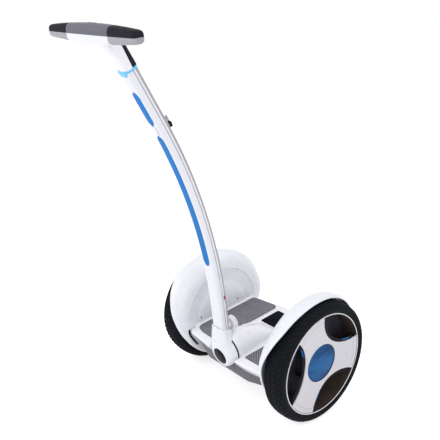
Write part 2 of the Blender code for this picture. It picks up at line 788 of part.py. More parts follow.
core = own(pole_piece("pole_core", core_section, CORE_LOW, pole_length), lean_axis, "alloy", None, True)
BORE_HALF = CORE_HALF - CORE_WALL
bore_section = [
    (-BORE_HALF, core_front + CORE_WALL), (BORE_HALF, core_front + CORE_WALL),
    (BORE_HALF, core_back - CORE_WALL), (-BORE_HALF, core_back - CORE_WALL),
]
core_bore = tool(pole_piece("core_bore", bore_section, CORE_LOW - 0.010, pole_length + 0.010), lean_axis)
core_bore.matrix_parent_inverse = HINGE.inverted()
boolean(core, core_bore)

# Blue inlays and the plate between them
STRIP_SINK = 0.0013
UPPER_STRIP = (pole_length - 0.178, pole_length - 0.070)
LOWER_STRIP = (0.245, pole_length - 0.212)


def inlay(name, start, end, half, low, high, grow=0.0):
    """Strip with round ends that follows the front of the pole, between two depths."""
    rows = []
    half += grow
    start -= grow
    end += grow
    for s in stations(start, end, [start + half * f for f in (
        0.12, 0.4, 1.0,
    )] + [end - half * f for f in (0.12, 0.4, 1.0)]):
        near = min(s - start, end - s, half)
        wide = math.sqrt(max(half ** 2 - (half - near) ** 2, (0.18 * half) ** 2))
        side_low = low + 0.0002
        rows.append([at_pole(s, x, d) for x, d in (
            (-wide, side_low), (wide, side_low), (wide, high), (-wide, high),
        )])
    return loft(name, rows)


for name, span in (("strip_upper", UPPER_STRIP), ("strip_lower", LOWER_STRIP)):
    own(inlay(name, span[0], span[1], 0.0085, -0.0004, STRIP_SINK), lean_axis, "accent_blue", None, True)
    groove = tool(
        inlay(name + "_groove", span[0], span[1], 0.0085, -0.004, STRIP_SINK + GAP, GAP), lean_axis,
    )
    groove.matrix_parent_inverse = HINGE.inverted()
    boolean(front_shell, groove)

BADGE_S = pole_length - 0.195
lozenge = [
    (-0.0095, -0.010), (0.0, -0.0165), (0.0095, -0.010), (0.0095, 0.010), (0.0, 0.0165), (-0.0095, 0.010),
]


def facing_front(s, depth):
    """Matrix with local XY on the front of the pole at a length and local Z forward."""
    before = pole_point(max(t for t in [0.0, *ALL_STATIONS] if t <= s))
    after = pole_point(min(t for t in [*ALL_STATIONS, pole_length] if t > s))
    lean = math.atan2(before[0] - after[0], after[1] - before[1])
    share = (pole_point(s)[1] - before[1]) / (after[1] - before[1])
    back = depth - POLE_DEPTH / 2
    y = before[0] + (after[0] - before[0]) * share + back * math.cos(lean)
    z = before[1] + (after[1] - before[1]) * share + back * math.sin(lean)
    at = Vector((0.0, y, z))
    turn = Matrix(((1, 0, 0, 0), (
        0, -math.sin(lean), -math.cos(lean), 0,
    ), (0, math.cos(lean), -math.sin(lean), 0), (0, 0, 0, 1)))
    return Matrix.Translation(at) @ turn


own(plate(
    "pole_plate", lozenge, GAP + 0.0002, 0.0022, 0.0006,
), lean_axis, "white_gloss", facing_front(BADGE_S, 0.0), True)

# Collar at the top of the pole
ring_low = GAP
ring_high = 0.0055


def upright_at(s):
    """Matrix at the middle of the pole: local X sideways, local Y to the back, local Z up along it."""
    y, z, lean = pole_point(s)
    return Matrix.Translation((0.0, y, z)) @ Matrix.Rotation(lean, 4, "X")


RH = POLE_HALF + 0.001
RD = POLE_DEPTH / 2 + 0.001
ring_outline = [(-RH, -0.008), (-0.020, -RD + 0.001), (-0.010, -RD), (0.010, -RD), (
    0.020, -RD + 0.001,
), (RH, -0.008), (RH, 0.012), (0.020, RD), (-0.020, RD), (-RH, 0.012)]
collar = own(plate(
    "collar_ring", ring_outline, ring_low, ring_high, 0.0006,
), lean_axis, "accent_blue", upright_at(pole_length), True)
tongue = [(-0.013, 0.0030), (0.013, 0.0030), (0.013, -0.006), (0.008, -0.0135), (
    -0.008, -0.0135,
), (-0.013, -0.006)]
tongue_piece = plate("collar_tongue", tongue, POLE_DEPTH / 2 + GAP + 0.0002, RD + 0.0012)
tongue_turn = Matrix(((1, 0, 0, 0), (0, 0, -1, 0), (0, 1, 0, 0), (0, 0, 0, 1)))
tool(tongue_piece, lean_axis, upright_at(pole_length) @ tongue_turn)
tongue_piece.matrix_parent_inverse = HINGE.inverted()
boolean(collar, tongue_piece, "UNION")
STEM_HALF = BORE_HALF - 0.0005
STEM_DEPTH = CORE_DEPTH - 2 * CORE_WALL - 0.0010
stem_hole = box("stem_hole", (
    -STEM_HALF - 0.0005, -STEM_DEPTH / 2 - 0.0005, -0.020,
), (STEM_HALF + 0.0005, STEM_DEPTH / 2 + 0.0005, 0.020))
tool(stem_hole, lean_axis, upright_at(pole_length))
stem_hole.matrix_parent_inverse = HINGE.inverted()
boolean(collar, stem_hole)

# Red latch mark on the edge of the rail
latch = box(
    "latch_mark", (POLE_HALF - 0.0008 + GAP, 0.0065, -0.007), (POLE_HALF + 0.0014, 0.0120, 0.007), 0.0006,
)
own(latch, lean_axis, "signal_red", upright_at(0.125), True)

# Nose
def disc_ring(s, rise, radius, count=22):
    """Circle about the badge axis, s behind the badge face and raised, in the hinge frame."""
    depth = s - 0.035
    lift = rise - 0.018
    ring = []
    for i in range(count):
        a = 2 * math.pi * (i + 0.5) / count
        ring.append(HINGE @ Vector((radius * math.cos(a), depth, lift + radius * math.sin(a))))
    return ring


hub = [(0.0, 0.0, 0.036), (0.0025, 0.002, 0.042), (0.008, 0.006, 0.0482), (
    0.018, 0.0115, 0.0550,
), (0.028, 0.0163, 0.0597), (0.035, 0.018, NOSE_RADIUS)]
nose = loft("hub_nose", [disc_ring(*row) for row in hub])
own(nose, lean_axis, "white_gloss", None, True)


def shield_ring(z_front, z_back, wide_front, wide_back, y_front, y_back):
    """Section of the shield: narrow rounded front, wide back."""
    f = wide_front
    b = wide_back
    pts = [
        (f * 0.45, 0.0), (f * 0.82, 0.05), (f, 0.22), (f + (b - f) * 0.6, 0.60), (b, 0.92), (b * 0.9, 1.0),
    ]
    ring = [(x, t) for x, t in pts] + [(-x, t) for x, t in reversed(pts)]
    return [Vector((
        x, y_front + (y_back - y_front) * t, z_front + (z_back - z_front) * t,
    )) for x, t in ring]


shield = loft("shield", [
    shield_ring(-0.014, -0.014, 0.044, 0.054, -0.1765, -0.1450),
    shield_ring(0.008, 0.008, 0.0445, 0.0575, -0.1790, -0.1480),
    shield_ring(0.032, 0.032, 0.042, 0.052, -0.1805, -0.1510),
    shield_ring(0.054, 0.054, 0.0385, 0.039, -0.1815, -0.1480),
    shield_ring(0.070, 0.068, 0.0345, 0.033, -0.1822, -0.1430),
    shield_ring(0.094, 0.079, 0.0295, 0.0295, -0.1828, -0.1437),
])
tool(shield, chassis)
boolean(nose, shield, "UNION")
boss = turned("knob_boss", [(0.0, -0.008), (0.011, -0.008), (0.011, 0.014), (0.0, 0.014)], 16, False)
KNOB_S = 0.0035
knob_frame = upright_at(KNOB_S) @ Matrix.Translation((0.0, POLE_DEPTH / 2 + 0.004, 0.0))
knob_placing = knob_frame @ along("Y")
tool(boss, chassis, knob_placing)
boolean(nose, boss, "UNION")
sweep_clear = turned("sweep_clear", [(0.0, 0.0), (0.0665, 0.0), (0.0665, 0.060), (0.0, 0.060)], 32, False)
tool(sweep_clear, chassis, HINGE @ along("Y"))
boolean(nose, sweep_clear)
G = GAP
socket_section = both_sides([(0.010, -G), (
    0.0192, 0.0009 - G,
), (0.0240, 0.0034), (H + G, 0.0074), (H + G, 0.0282), (0.0197, POLE_DEPTH + G)])
socket = tool(pole_piece("pole_socket", socket_section, POLE_START - GAP, 0.060), chassis)
boolean(nose, socket)
core_socket_section = [(
    -CORE_HALF - G, core_front - G,
), (CORE_HALF + G, core_front - G), (CORE_HALF + G, core_back + G), (-CORE_HALF - G, core_back + G)]
core_socket = tool(pole_piece("core_socket", core_socket_section, CORE_LOW - GAP, 0.020), chassis)
boolean(nose, core_socket)
screw_hole = turned("screw_hole", [
    (0.0, -0.0060), (0.0055, -0.0060), (0.0055, 0.030), (0.0, 0.030),
], 16, False)
tool(screw_hole, chassis, knob_placing)
boolean(nose, screw_hole)
badge_recess = turned("badge_recess", [
    (0.0, -0.040), (0.0292 + G, -0.040), (0.0292 + G, -0.0330), (0.0, -0.0330),
], 24, False)
tool(badge_recess, chassis, HINGE @ Matrix.Translation((0.0, 0.0, -0.018)) @ along("Y"))
boolean(nose, badge_recess)
pin_socket = turned("pin_socket", [
    (0.0, -0.018 - G), (PIN_RADIUS + G, -0.018 - G), (PIN_RADIUS + G, 0.010), (0.0, 0.010),
], 16, False)
tool(pin_socket, chassis, HINGE @ along("Y"))
boolean(nose, pin_socket)
badge = [(0.0, -0.0330 - G), (0.0292, -0.0330 - G), (0.0292, -0.0350), (0.0270, -0.0360), (0.0, -0.0366)]
own(turned(
    "nose_badge", badge, 24, False,
), lean_axis, "panel_black", Matrix.Translation((0.0, 0.0, -0.018)) @ along("Y"))

# Lock knob behind the foot of the pole
knob_axis = pivot_at("knob_axis", lean_axis, knob_placing)
screw = [(0.0, -0.0034), (0.0050, -0.0034), (0.0050, 0.0195), (0.0, 0.0195)]
own(turned("knob_screw", screw, 16, False), knob_axis, "steel")
KNOB_LOW = 0.0160
KNOB_RADIUS = 0.0225
KNOB_TEETH = 13
KNOB_HIGH = 0.0345
knob_outline = []
for i in range(KNOB_TEETH * 2):
    reach = KNOB_RADIUS + (0.0006 if i % 2 else -0.0006)
    a = math.pi * i / KNOB_TEETH
    knob_outline.append((reach * math.cos(a), reach * math.sin(a)))
knob = own(plate("lock_knob", knob_outline, KNOB_LOW, KNOB_HIGH, 0.002), knob_axis, "alloy")
boolean(knob, tool(turned("knob_bore", [
    (0.0, 0.010), (0.0053, 0.010), (0.0053, 0.0198), (0.0, 0.0198),
], 16, False), knob_axis))
boolean(knob, tool(turned("knob_dish", [
    (0.0, 0.0330), (0.0150, 0.0330), (0.0165, 0.040), (0.0, 0.040),
], 24, False), knob_axis))

# Height latch on the back of the pole
LEVER_S = pole_length - 0.176
LEVER_OUT = 0.0095
lever_placing = upright_at(LEVER_S) @ Matrix.Translation((0.0, POLE_DEPTH / 2 + LEVER_OUT, 0.0))
lever_axis = pivot_at("lever_axis", lean_axis, lever_placing)
LEVER_PIN = 0.0020
BRACKET_HALF = 0.0100
bracket = box(
    "lever_bracket", (-BRACKET_HALF, -LEVER_OUT + 0.0008, -0.008), (BRACKET_HALF, 0.0065, 0.008), 0.0008,
)
own(bracket, lean_axis, "bar_grey", lever_placing, True)
boolean(bracket, tool(box("lever_slot", (-0.0063, -0.0068, -0.020), (0.0063, 0.020, 0.020)), lever_axis))
boolean(bracket, tool(turned("lever_pin_hole", [
    (0.0, -0.03), (LEVER_PIN + GAP, -0.03), (LEVER_PIN + GAP, 0.03), (0.0, 0.03),
], 12, False), lever_axis, along("X")))
lever_pin = turned("lever_pin", [
    (0.0, -0.0104), (LEVER_PIN, -0.0104), (LEVER_PIN, 0.0104), (0.0, 0.0104),
], 12, False)
own(lever_pin, lean_axis, "steel", lever_placing @ along("X"), True)
lever_profile = [(-0.0055, 0.0), (
    -0.0040, 0.0045,
), (0.0, 0.0060), (0.0045, 0.0042), (0.0060, 0.0), (0.0060, -0.0120), (-0.0045, -0.0120), (-0.0055, -0.004)]
across = Matrix(((0, 0, 1, 0), (1, 0, 0, 0), (0, 1, 0, 0), (0, 0, 0, 1)))
lever = own(plate("height_lever", lever_profile, -0.0060, 0.0060), lever_axis, "grip_black", across)
paddle = [(
    -0.0052, -0.0115,
), (0.0070, -0.0115), (0.0100, -0.0180), (0.0085, -0.0290), (0.0040, -0.0305), (-0.0052, -0.0260)]
boolean(lever, tool(plate("lever_paddle", paddle, -0.0095, 0.0095, 0.0008), lever_axis, across), "UNION")
boolean(lever, tool(turned("lever_bore", [
    (0.0, -0.02), (LEVER_PIN + 0.0005, -0.02), (LEVER_PIN + 0.0005, 0.02), (0.0, 0.02),
], 12, False), lever_axis, along("X")))

# Handlebar, sliding up out of the pole
bar_slide = pivot_at("bar_slide", lean_axis, upright_at(pole_length))
stem = box("bar_stem", (-STEM_HALF, -STEM_DEPTH / 2, -0.158), (STEM_HALF, STEM_DEPTH / 2, 0.040))
own(stem, bar_slide, "alloy")
stem_bore = box("stem_bore", (
    -STEM_HALF + 0.002, -STEM_DEPTH / 2 + 0.002, -0.170,
), (STEM_HALF - 0.002, STEM_DEPTH / 2 - 0.002, 0.030))
boolean(stem, tool(stem_bore, bar_slide))


def neck_ring(y, z, lean, half, front, back):
    """Section of the neck across its centre line, in the chassis frame."""
    pts = [(0.45, front), (
        0.80, front + 0.0012,
    ), (0.97, front + 0.006), (1.0, 0.0), (0.94, back - 0.005), (0.70, back), (0.3, back)]
    ring = [(half * x, d) for x, d in pts] + [(-half * x, d) for x, d in reversed(pts)]
    return [Vector((x, y + d * math.cos(lean), z + d * math.sin(lean))) for x, d in ring]


top_y, top_z, top_lean = pole_point(pole_length)
base = pole_point(pole_length + ring_high + GAP)
NECK = [
    (base[0], base[1], top_lean, 0.0255, -0.0155, 0.0155),
    (-0.4040, 0.9740, math.radians(27), 0.0270, -0.0170, 0.0155),
    (-0.4160, 0.9960, math.radians(36), 0.0300, -0.0200, 0.0170),
    (-0.4340, 1.0140, math.radians(50), 0.0370, -0.0230, 0.0190),
    (-0.4560, 1.0250, math.radians(66), 0.0480, -0.0240, 0.0140),
    (-0.4772, 1.0300, math.radians(80), 0.0585, -0.0195, 0.0090),
]
BAR_PROFILE = [
    (0.0, 0.0262, 0.0275, BAR_DEPTH), (0.040, 0.0255, 0.0262, 0.0255), (BAR_CENTRE, 0.0228, 0.0220, 0.0238),
    (0.136, 0.0202, 0.0188, 0.0208), (GRIP_END - 0.018, 0.0170, 0.0152, 0.0178),
    (GRIP_END, 0.0138, 0.0125, 0.0150),
]


def bar_size(x):
    """Height above and below the parting line and half depth of the bar at a distance from its middle."""
    x = abs(x)
    for a, b in zip(BAR_PROFILE, BAR_PROFILE[1:]):
        if x <= b[0]:
            t = (x - a[0]) / (b[0] - a[0])
            return [p + (q - p) * t for p, q in zip(a[1:], b[1:])]
    return list(BAR_PROFILE[-1][1:])


def half_bar(name, places, upper, tube=True):
    """Upper or lower half of the bar between several places along it, hollow round the tube."""
    rings = []
    for x in places:
        top, low, deep = bar_size(x)
        high = top if upper else -low
        offset = GAP / 2 if upper else -GAP / 2
        ring = []
        for i in range(11):
            a = math.pi * i / 10
            c = math.copysign(abs(math.cos(a)) ** 0.85, math.cos(a))
            ring.append(Vector((x, BAR_Y + deep * c, BAR_Z + high * math.sin(a) ** 0.85 + offset)))
        reach = BAR_TUBE + GAP
        for i in range(7):
            a = math.pi * (1 - i / 6)
            lift = reach * math.sin(a) * (1 if upper else -1)
            ring.append(Vector((x, BAR_Y + reach * math.cos(a), BAR_Z + lift + offset)))
        rings.append(ring)
    return loft(name, rings)


C = BAR_CENTRE
neck = own(half_bar("neck_shell", [-C, -0.040, 0.0, 0.040, C], False), bar_slide, "white_gloss", None, True)
neck_body = tool(loft("neck_body", [neck_ring(*row) for row in NECK]), chassis)
boolean(neck, neck_body, "UNION")
over = tool(box(
    "over_parting", (-0.10, BAR_Y - 0.05, BAR_Z - GAP / 2), (0.10, BAR_Y + 0.10, BAR_Z + 0.06),
), chassis)
boolean(neck, over)
tube_hole = turned("tube_hole", [
    (0.0, -0.10), (BAR_TUBE + GAP, -0.10), (BAR_TUBE + GAP, 0.10), (0.0, 0.10),
], 24, False)
tool(tube_hole, chassis, along("X", (0.0, BAR_Y, BAR_Z)))
boolean(neck, tube_hole)
stem_slot = box("stem_slot", (-STEM_HALF - G, -STEM_DEPTH / 2 - G, -0.010), (
    STEM_HALF + G, STEM_DEPTH / 2 + G, 0.040 + G,
))
tool(stem_slot, chassis, upright_at(pole_length))
boolean(neck, stem_slot)
STRIP_FRONT = 0.0085
strip_profile = [
    (STRIP_FRONT, 0.0058), (0.0150, 0.0058), (0.0185, 0.0100), (0.0175, 0.0560), (STRIP_FRONT, 0.0600),
]
neck_strip = own(plate("neck_strip", strip_profile, -0.017, 0.017, 0.001), bar_slide, "panel_black", across)
slot_profile = [
    (STRIP_FRONT - G, -0.004), (0.040, -0.004), (0.040, 0.0600 + G), (STRIP_FRONT - G, 0.0600 + G),
]
strip_slot = tool(
    plate("strip_slot", slot_profile, -0.017 - G, 0.017 + G), chassis, upright_at(pole_length) @ across,
)
boolean(neck, strip_slot)
own(half_bar("bar_top_cover", [-C, -0.040, 0.0, 0.040, C], True), bar_slide, "bar_grey", None, True)
top_cover = bpy.data.objects["bar_top_cover"]
TUBE_END = GRIP_END - 0.0005
TUBE_BORE = BAR_TUBE - BAR_WALL
tube_profile = [(TUBE_BORE, -TUBE_END), (BAR_TUBE, -TUBE_END), (BAR_TUBE, TUBE_END), (TUBE_BORE, TUBE_END)]
tube = turned("bar_tube", tube_profile, 20)
own(tube, bar_slide, "alloy", along("X", (0.0, BAR_Y, BAR_Z)), True)
for side, direction in (("left", 1), ("right", -1)):
    places = [direction * x for x in (C + G, 0.136, GRIP_END - 0.018, GRIP_END)]
    own(half_bar("grip_" + side, places, True), bar_slide, "grip_black", None, True)
    own(half_bar("grip_pad_" + side, places, False), bar_slide, "pad_grey", None, True)
    cap = [(0.0, GRIP_END + G), (0.0115, GRIP_END + G), (0.0120, GRIP_END + 0.0015)]
    cap += [(0.0095, BAR_HALF - 0.0004), (0.0, BAR_HALF)]
    place = along("X" if direction > 0 else "-X", (0.0, BAR_Y, BAR_Z))
    own(turned("end_cap_" + side, cap, 16, False), bar_slide, "pad_grey", place, True)

# Display and power button on the rider's side of the bar
FACE_TURN = math.radians(-40)
face = Matrix.Translation((0.0, BAR_Y, BAR_Z)) @ Matrix.Rotation(FACE_TURN, 4, "X")
own(box(
    "display_lens", (-0.020, -0.0085, 0.0232), (0.020, 0.0085, 0.0256), 0.0005,
), bar_slide, "panel_black", face, True)
boolean(top_cover, tool(box(
    "display_recess", (-0.020 - G, -0.0085 - G, 0.0232 - G), (0.020 + G, 0.0085 + G, 0.040),
), chassis, face))
BUTTON_X = 0.036
button_placing = face @ Matrix.Translation((BUTTON_X, 0.0, 0.0))
button_axis = pivot_at("button_axis", bar_slide, button_placing)
button = [(0.0, 0.0205), (0.0050, 0.0205), (0.0050, 0.0262), (0.0040, 0.0272), (0.0, 0.0274)]
own(turned("power_button", button, 16, False), button_axis, "accent_blue")
hole = turned("button_hole", [(0.0, 0.0185), (0.0056, 0.0185), (0.0056, 0.040), (0.0, 0.040)], 16, False)
boolean(top_cover, tool(hole, chassis, button_placing))

# Side stand under the left of the shell, hinged so that the load pushes it against its stop
STAND_X = 0.167
STAND_Y = -0.0520
STAND_Z = -0.0975
STAND_PIN = 0.003
stand_height = world_z(STAND_Y, STAND_Z)
stand_placing = Matrix.Translation((STAND_X, STAND_Y, STAND_Z)) @ Matrix.Rotation(-PITCH, 4, "X")
stand_axis = pivot_at("stand_axis", chassis, stand_placing)
low = SHELL_BOTTOM - GAP
base_plate = box(
    "stand_bracket", (0.112, STAND_Y - 0.014, low - 0.0032), (0.1762, STAND_Y + 0.014, low), 0.0006,
)
own(base_plate, chassis, "steel")
for number, x in enumerate((0.1578, 0.1731)):
    ear = box("stand_ear_%d" % number, (x, STAND_Y - 0.009, STAND_Z - 0.008), (
        x + 0.0031, STAND_Y + 0.009, low - 0.001,
    ))
    boolean(base_plate, tool(ear, chassis), "UNION")
pin_cut = turned("stand_pin_hole", [
    (0.0, -0.03), (STAND_PIN + GAP, -0.03), (STAND_PIN + GAP, 0.03), (0.0, 0.03),
], 16, False)
tool(pin_cut, stand_axis, along("X"))
boolean(base_plate, pin_cut)
own(turned("stand_pin", [
    (0.0, -0.0105), (STAND_PIN, -0.0105), (STAND_PIN, 0.0108), (0.0, 0.0108),
], 16, False), chassis, "steel", stand_placing @ along("X"))
FOOT_HIGH = 0.008
leg_half = 0.0052
leg_low = -stand_height + FOOT_HIGH + GAP
leg = turned("stand_leg", [
    (0.0, -leg_half), (0.0068, -leg_half), (0.0068, leg_half), (0.0, leg_half),
], 16, False)
own(leg, stand_axis, "alloy", along("X"))
shank = [(-0.0062, 0.0), (0.0062, 0.0), (-0.0060, leg_low + 0.001), (-0.0190, leg_low + 0.001)]
boolean(leg, tool(
    plate("stand_shank", shank, -leg_half + 0.0003, leg_half - 0.0003), stand_axis, across,
), "UNION")
boolean(leg, tool(
    box("stand_sole", (-0.012, -0.030, leg_low), (0.012, 0.004, leg_low + 0.003)), stand_axis,
), "UNION")
boolean(leg, tool(turned("leg_bore", [
    (0.0, -0.02), (STAND_PIN + 0.0005, -0.02), (STAND_PIN + 0.0005, 0.02), (0.0, 0.02),
], 16, False), stand_axis, along("X")))
own(box(
    "stand_foot", (-0.0135, -0.0320, -stand_height), (0.0135, 0.0060, -stand_height + FOOT_HIGH), 0.0012,
), stand_axis, "grip_black")

# Charge flap and socket on the back of the lower shell, tail light on the back of the deck
def rear_face(x, low, high, share):
    """Matrix on a rear face given by its (y, z) at the bottom and top: local Y outward, local Z up."""
    y = low[0] + (high[0] - low[0]) * share
    z = low[1] + (high[1] - low[1]) * share
    turn = -math.atan2(high[0] - low[0], high[1] - low[1])
    return Matrix.Translation((x, y, z)) @ Matrix.Rotation(turn, 4, "X")


shell_back = rear_face(-0.030, (0.142, SHELL_BOTTOM), (0.154, DECK_SEAM - GAP), 0.48)
socket_body = [
    (0.0, -0.022), (0.0080, -0.022), (0.0080, -0.0012), (0.0050, -0.0012), (0.0050, -0.014), (0.0, -0.014),
]
own(turned("charge_socket", socket_body, 20, False), chassis, "panel_black", shell_back @ along("Y"))
socket_hole = turned("socket_hole", [
    (0.0, -0.030), (0.0083, -0.030), (0.0083, 0.010), (0.0, 0.010),
], 20, False)
boolean(shell, tool(socket_hole, chassis, shell_back @ along("Y")))
flap_placing = shell_back @ Matrix.Translation((0.0, 0.0018, 0.0125))
flap_axis = pivot_at("flap_axis", chassis, flap_placing)
flap_profile = [(-0.0015, 0.0), (
    -0.0010, 0.0011,
), (0.0004, 0.0015), (0.0014, 0.0006), (0.0009, -0.0010), (0.0009, -0.0245), (-0.0015, -0.0245)]
own(plate("charge_flap", flap_profile, -0.016, 0.016, 0.0003), flap_axis, "shell_grey", across)
deck_back = rear_face(0.0, (0.154, DECK_SEAM), (0.174, DECK_TOP - 0.004), 0.52)
own(box(
    "tail_light", (-0.034, GAP, -0.0065), (0.034, 0.0022, 0.0065), 0.0006,
), chassis, "signal_red", deck_back)
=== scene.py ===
import json
from math import acos, copysign, cos, degrees, hypot, pi, radians, sin, sqrt

import bmesh
import bpy
from mathutils import Matrix, Vector


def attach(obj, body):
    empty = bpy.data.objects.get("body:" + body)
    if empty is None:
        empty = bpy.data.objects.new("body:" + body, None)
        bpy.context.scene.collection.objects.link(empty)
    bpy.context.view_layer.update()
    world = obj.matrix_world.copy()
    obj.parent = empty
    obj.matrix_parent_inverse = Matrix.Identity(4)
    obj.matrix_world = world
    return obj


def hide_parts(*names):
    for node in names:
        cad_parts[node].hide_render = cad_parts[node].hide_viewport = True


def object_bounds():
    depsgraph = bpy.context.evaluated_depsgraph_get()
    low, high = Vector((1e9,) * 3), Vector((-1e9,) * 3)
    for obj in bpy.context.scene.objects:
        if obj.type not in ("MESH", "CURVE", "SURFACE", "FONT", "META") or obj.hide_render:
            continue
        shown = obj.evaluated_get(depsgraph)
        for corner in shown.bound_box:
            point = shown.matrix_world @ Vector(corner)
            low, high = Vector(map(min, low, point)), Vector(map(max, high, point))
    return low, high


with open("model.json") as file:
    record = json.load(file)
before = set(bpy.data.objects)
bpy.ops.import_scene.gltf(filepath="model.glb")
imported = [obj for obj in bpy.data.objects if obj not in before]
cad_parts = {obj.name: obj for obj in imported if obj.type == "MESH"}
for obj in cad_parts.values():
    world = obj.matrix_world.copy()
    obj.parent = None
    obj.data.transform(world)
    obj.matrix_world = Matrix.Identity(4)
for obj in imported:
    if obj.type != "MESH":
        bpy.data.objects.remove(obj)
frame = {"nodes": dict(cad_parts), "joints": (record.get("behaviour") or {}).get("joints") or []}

# Looks of the self-balancing transporter. Metres, +Z up, front toward -Y, the rider's left toward +X.
cad_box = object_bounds()
nodes = frame["nodes"]
joints = {joint["name"]: joint for joint in frame["joints"]}

# Sizes of the vehicle, as in the part
HUB_AT = Vector(joints["wheel_left_spin"]["pos_m"])
WHEEL_X, AXLE_Y, AXLE_Z = HUB_AT
PITCH = radians(5.5)
HINGE_Y = -0.1462
HINGE_Z = 0.005
HUB_TILT = radians(8.5)
DECK_TOP = -0.01
POLE_FOOT = (-0.1629, 0.0782)
POLE_LEAN = radians(2.62)
POLE_BEND = radians(22.69)
POLE_LOW = 0.099
POLE_ARC_RADIUS = 1.627
POLE_HIGH = 0.1665
POLE_HALF = 0.025
POLE_DEPTH = 0.031
BAR_Y = -0.4784
BAR_Z = 1.0409
BAR_CENTRE = 0.0945

SIDES = (("left", 1), ("right", -1))
QUARTER = pi / 2
FULL = 2 * pi


def moved(x, y, z):
    """Matrix of a move."""
    return Matrix.Translation((x, y, z))


def rotated(angle, axis):
    """Matrix of a turn about an axis."""
    return Matrix.Rotation(angle, 4, axis)


CHASSIS = moved(0.0, AXLE_Y, AXLE_Z) @ rotated(PITCH, "X")
HINGE = CHASSIS @ moved(0.0, HINGE_Y, HINGE_Z) @ rotated(HUB_TILT, "X")
# Local X to the back, local Y up and local Z sideways
ACROSS = Matrix(((0, 0, 1, 0), (1, 0, 0, 0), (0, 1, 0, 0), (0, 0, 0, 1)))

# Materials
COAT_ROUGHNESS = 0.08
ROUGHNESS_DRIFT = 0.05
SMOOTHEST = 0.02
CLOUD_DETAIL = 3.0
CLOUD_ROUGHNESS = 0.55
COLOR_EDGES = (0.35, 0.65)
GLOSS_EDGES = (0.3, 0.7)
GRAIN_DETAIL = 2.0
GRAIN_HEIGHT = 0.0005
# Sockets of the Mix node for colours
MIX_SHARE = 0
MIX_DARK = 6
MIX_LIGHT = 7
MIX_RESULT = 2


def node_of(tree, kind, **inputs):
    """Shader node with values on its sockets, whose spaces are written as underscores."""
    made = tree.nodes.new(kind)
    for key, value in inputs.items():
        made.inputs[key.replace("_", " ")].default_value = value
    return made


def cloud_color(tree, clouds, color, vary, tint):
    """Colour that drifts between a darker and a lighter tone in soft patches."""
    mixed = tree.nodes.new("ShaderNodeMix")
    mixed.data_type = "RGBA"
    darker = [c * (1.0 - vary) for c in color]
    lighter = tint if tint else [min(1.0, c * (1.0 + vary)) for c in color]
    mixed.inputs[MIX_DARK].default_value = (*darker, 1.0)
    mixed.inputs[MIX_LIGHT].default_value = (*lighter, 1.0)
    steep = node_of(tree, "ShaderNodeMapRange", From_Min=COLOR_EDGES[0], From_Max=COLOR_EDGES[1])
    tree.links.new(clouds, steep.inputs["Value"])
    tree.links.new(steep.outputs["Result"], mixed.inputs[MIX_SHARE])
    return mixed.outputs[MIX_RESULT]


def cloud_roughness(tree, clouds, rough):
    """Roughness that drifts in the same patches."""
    drift = node_of(tree, "ShaderNodeMapRange", From_Min=GLOSS_EDGES[0], From_Max=GLOSS_EDGES[1])
    drift.inputs["To Min"].default_value = max(SMOOTHEST, rough - ROUGHNESS_DRIFT)
    drift.inputs["To Max"].default_value = rough + ROUGHNESS_DRIFT
    tree.links.new(clouds, drift.inputs["Value"])
    return drift.outputs["Result"]


def grain_bump(tree, place, grain, grain_size):
    """Normal of a fine grain."""
    fine = node_of(tree, "ShaderNodeTexNoise", Scale=grain_size, Detail=GRAIN_DETAIL)
    tree.links.new(place, fine.inputs["Vector"])
    bump = node_of(tree, "ShaderNodeBump", Strength=grain, Distance=GRAIN_HEIGHT)
    tree.links.new(fine.outputs["Fac"], bump.inputs["Height"])
    return bump.outputs["Normal"]


def surface(name, color, rough, metal=0.0, coat=0.0, shine=0.5, vary=0.05, patch=25.0, grain=0.0,
            grain_size=700.0, stretch=(1.0, 1.0, 1.0), tint=None):
    """Principled material: colour and roughness drift in soft patches, and a fine grain gives the bump."""
    made = bpy.data.materials.new(name)
    made.use_nodes = True
    tree = made.node_tree
    shader = tree.nodes["Principled BSDF"]
    shader.inputs["Metallic"].default_value = metal
    shader.inputs["Coat Weight"].default_value = coat
    shader.inputs["Coat Roughness"].default_value = COAT_ROUGHNESS
    shader.inputs["Specular IOR Level"].default_value = shine
    place = tree.nodes.new("ShaderNodeTexCoord")
    spread = node_of(tree, "ShaderNodeMapping", Scale=stretch)
    tree.links.new(place.outputs["Object"], spread.inputs["Vector"])
    clouds = node_of(tree, "ShaderNodeTexNoise", Scale=patch, Detail=CLOUD_DETAIL, Roughness=CLOUD_ROUGHNESS)
    tree.links.new(spread.outputs["Vector"], clouds.inputs["Vector"])
    drifting = clouds.outputs["Fac"]
    tree.links.new(cloud_color(tree, drifting, color, vary, tint), shader.inputs["Base Color"])
    tree.links.new(cloud_roughness(tree, drifting, rough), shader.inputs["Roughness"])
    if grain:
        tree.links.new(grain_bump(tree, spread.outputs["Vector"], grain, grain_size), shader.inputs["Normal"])
    return made


